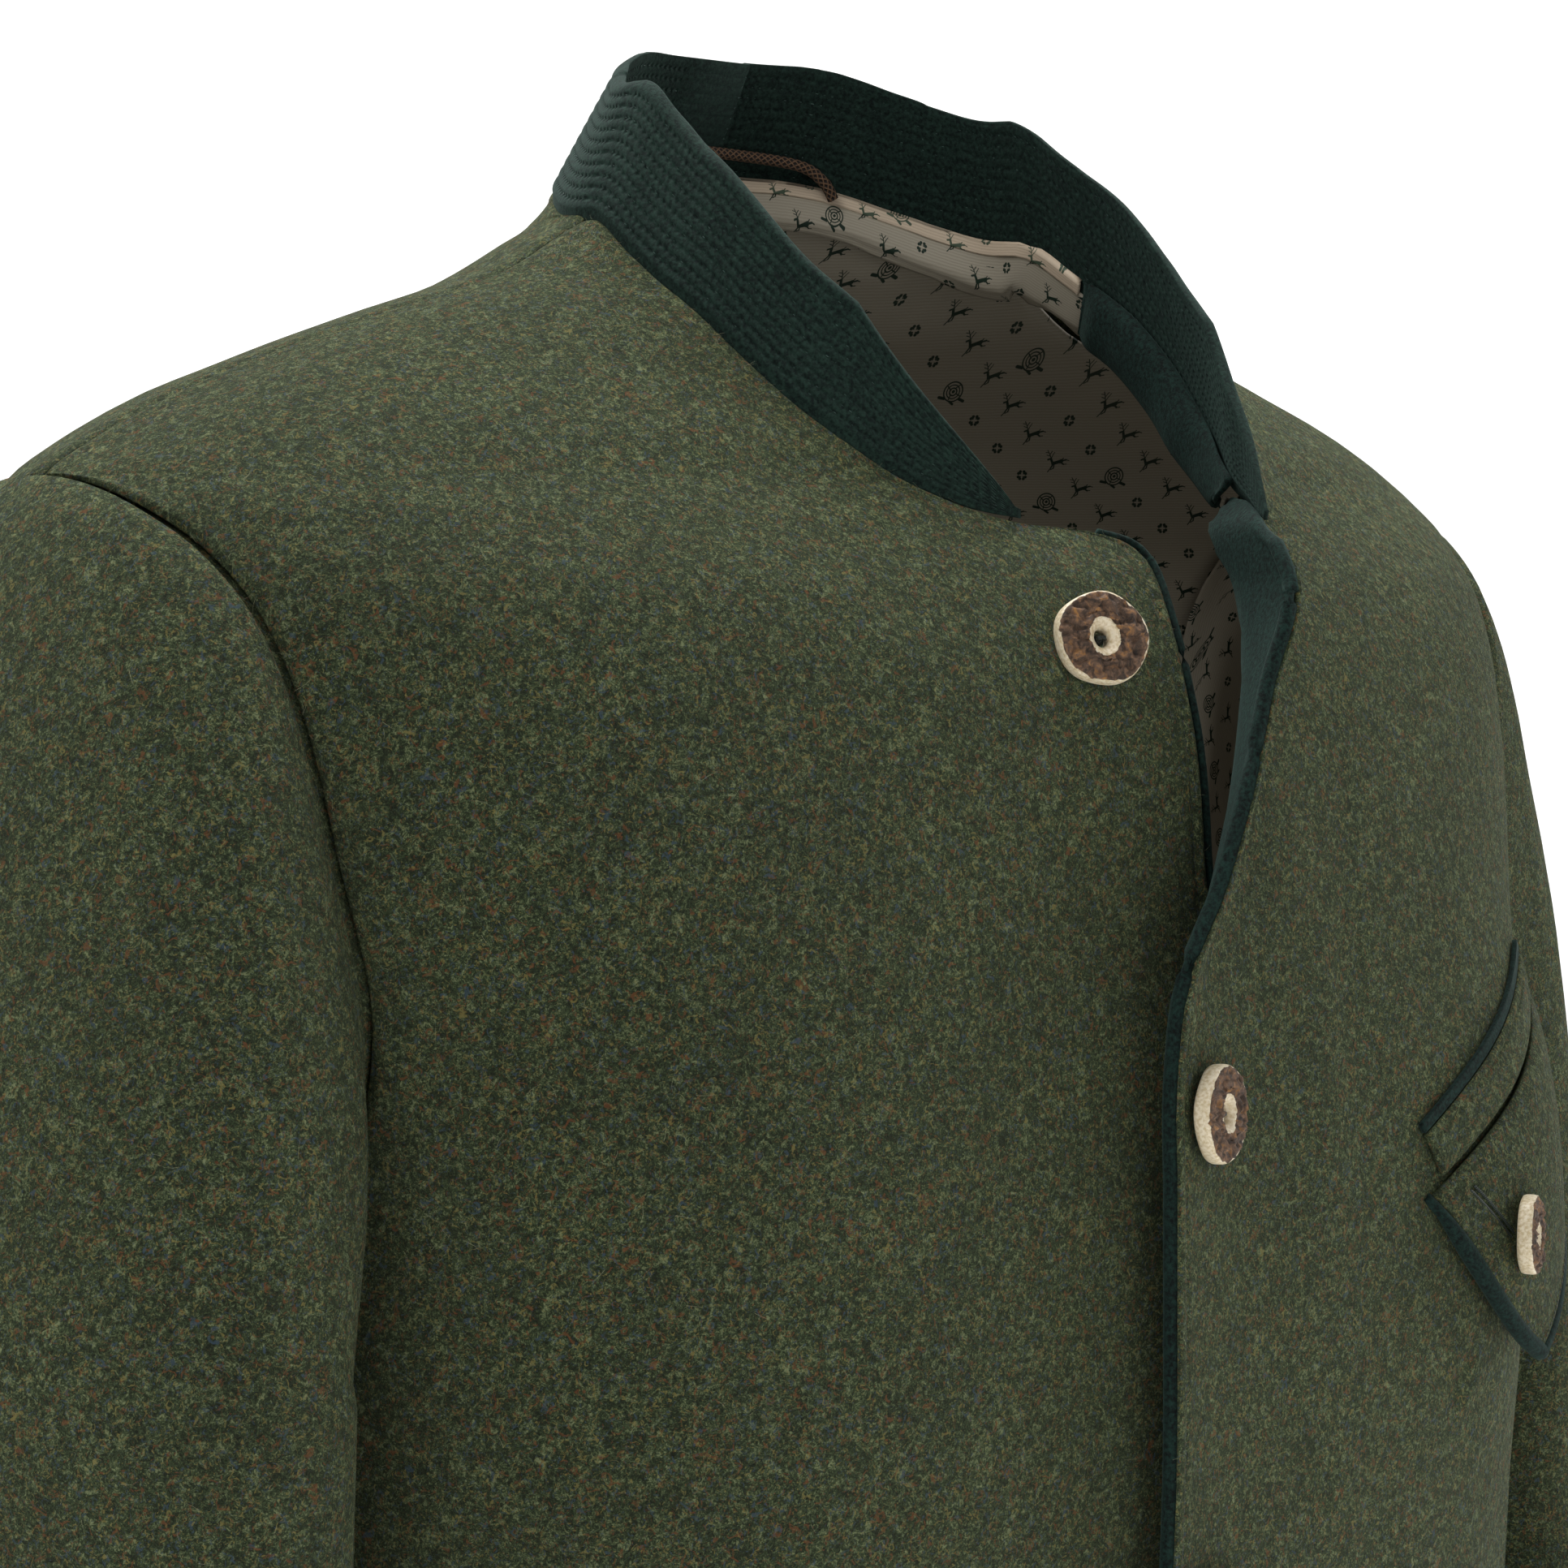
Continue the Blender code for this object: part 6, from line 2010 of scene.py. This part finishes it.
flap_front = pushed(flap_grid(over, 0.0, FLAP_ROWS, FLAP_COLUMNS), flap_relief, -1)
flap = cloth("loden_pocket_flap", flap_front, LODEN, LODEN_CLOTH, "loden", "pocket_flap")
felt_grid = flap_grid(under, FLAP_EDGE, FLAP_ROWS // 2, FLAP_COLUMNS // 2)
flap_felt = cloth("felt_pocket_flap", felt_grid, FELT, FELT_CLOTH, "felt", "pocket_flap_facing")
rim = [row[0] for row in felt_grid] + felt_grid[-1][1:] + [row[-1] for row in reversed(felt_grid[:-1])]
piped = softened(rim[::2], 3)
lift = facing_at(1, *POCKET_CENTRE) * 0.6
roll("felt_flap_piping", [p + lift for p in piped], FLAP_ROLL, FELT_CLOTH, "felt",
     swell=lambda i: 0.55 + 0.45 * smooth(i / 14) * smooth((len(piped) - i) / 60))

across, down = POCKET_BUTTON_SPOT
sideways = flap_point(across + 0.05, down, over) - flap_point(across - 0.05, down, over)
upwards = flap_point(across, down - 0.05, over) - flap_point(across, down + 0.05, over)
facing = sideways.cross(upwards).normalized() + Vector(POCKET_BUTTON_LEAN)
sewn_button("pocket_button", POCKET_BUTTON, flap_point(across, down, over), facing,
            POCKET_BUTTON_SEAT, 21.3)


# %% [markdown]
# ## Topstitching and buttonholes
#
# The stitching that holds a front edge flat sinks into milled wool, so only short dark dashes of it
# show at the bottom of their groove. Buttonholes are worked with close stitches side by side round a
# cut. The buttonholes of the fastened fronts point inwards from each button.

# %% Stitches on the loden
LODEN_STITCH = 2.3           # length of one stitch with its gap


def stitches_on(path, outward, chance):
    """Places of running stitches along a path, a hair's breadth over the cloth."""
    lengths = lengths_of(path)
    result = []
    for k in range(int(lengths[-1] / LODEN_STITCH)):
        d = LODEN_STITCH * (k + 0.3 + 0.1 * chance.random())
        here = point_along(path, lengths, d)
        ahead = point_along(path, lengths, d + 1.0) - here
        result.append(turned_to(here + outward * 0.05, ahead, outward))
    return result


HOLE_STITCHES, FLAP_HOLE_STITCHES = 30, 34
HOLE_LENGTH = 17.0
chance = random.Random(5)
outward = facing_at(1, *POCKET_CENTRE)
places = []
for side in (-1, 1):
    path = [row[EDGE_STEPS.index(TOPSTITCH)] for row in FRONT_GRIDS[side] if row[0].z < COLLAR_END]
    places += stitches_on(path, Vector((-0.2 * side, -1, 0)).normalized(), chance)
step = round(TOPSTITCH / FLAP_WIDTH * FLAP_COLUMNS)
path = [row[step] for row in flap_front[4:-step]] + flap_front[-step][step:-step]
path += [row[-step] for row in reversed(flap_front[4:-step])]
places += stitches_on(softened(path[::4], 4), outward, chance)
scattered("loden_topstitching", stitch_pattern(1.5, 0.42, 0.3), places, TAPE_THREAD, "loden")

places = []
for _, height in LEFT_BUTTONS:
    for k in range(HOLE_STITCHES):
        x = FRONT_BUTTON_X + 2.0 + HOLE_LENGTH * k / (HOLE_STITCHES - 1)
        for row in (-1, 1):
            here = on_front(1, x, height + row * 0.75, -0.05)
            places.append(turned_to(here, Vector((0.1, 0, row)), facing_at(1, x, height)))
x1, y1, x2, y2 = BUTTONHOLE
for k in range(FLAP_HOLE_STITCHES):
    t = k / (FLAP_HOLE_STITCHES - 1)
    for row in (-1, 1):
        here = flap_point(x1 + (x2 - x1) * t + row * 0.010, y1 + (y2 - y1) * t, over - 0.15)
        places.append(turned_to(here, Vector((row, 0, 0.1)), outward))
scattered("buttonhole_stitches", stitch_pattern(1.5, 0.62, 0.5), places, TAPE_THREAD, "loden")


# %% [markdown]
# ## Nap
#
# Milling and brushing leave loose ends of wool on the face of the cloth. Most are too fine to see
# singly, but the longest stand out against the edge and catch the light. Each is a thin ribbon of
# three faces, bent a little, lying nearly flat on the cloth.

# %% Nap
def nap(name, grids, count, longest, code, seed):
    chance = random.Random(seed)
    points, faces = [], []
    for _ in range(count):
        grid, outward_sign = chance.choice(grids)
        r, c = chance.randrange(1, len(grid) - 1), chance.randrange(1, len(grid[0]) - 1)
        here = grid[r][c].lerp(grid[r + 1 if r + 2 < len(grid) else r][c], chance.random())
        here = here.lerp(grid[r][c + 1], chance.random() * 0.7)
        normal = (grid[r][c + 1] - grid[r][c - 1]).cross(grid[r + 1][c] - grid[r - 1][c]).normalized()
        normal *= outward_sign
        way = Vector([chance.gauss(0, 1) for _ in range(3)])
        way = (way - normal * way.dot(normal)).normalized()
        lean = normal * chance.uniform(0.05, 0.45)
        side_way = normal.cross(way)
        length = longest * (0.25 + 0.75 * chance.random() ** 2)
        curl, thick = chance.uniform(-0.5, 0.5), chance.uniform(0.035, 0.06)
        start = len(points)
        for k in range(4):
            t = k / 3
            middle = here + (way + lean * t) * length * t + side_way * curl * length * t * t
            for half in (-0.5, 0.5):
                points.append((middle + side_way * half * thick * (1 - 0.6 * t)) * MM)
        for k in range(3):
            a = start + 2 * k
            faces.append((a, a + 1, a + 3, a + 2))
    material, shader, _ = new_material(name + " wool")
    plug(shader, {"Base Color": ink(code), "Roughness": 0.8, "Specular IOR Level": 0.15})
    return many_faces(name, points, faces, material, "loden")


SURFACES = [(FRONT_GRIDS[-1], 1), (FRONT_GRIDS[1], -1), (SLEEVE_GRIDS[-1], -1), (SLEEVE_GRIDS[1], 1),
            (BACK_GRID, 1)]
# The pale fibres' colour is partly the wool's own light fibres and partly a painted highlight of the glint
# on loose hairs.
nap("pale_nap_painted_highlight", SURFACES, 9000, 4.5, "a8a888", 3)
nap("green_nap", SURFACES, 9000, 4.0, "3c4a30", 4)
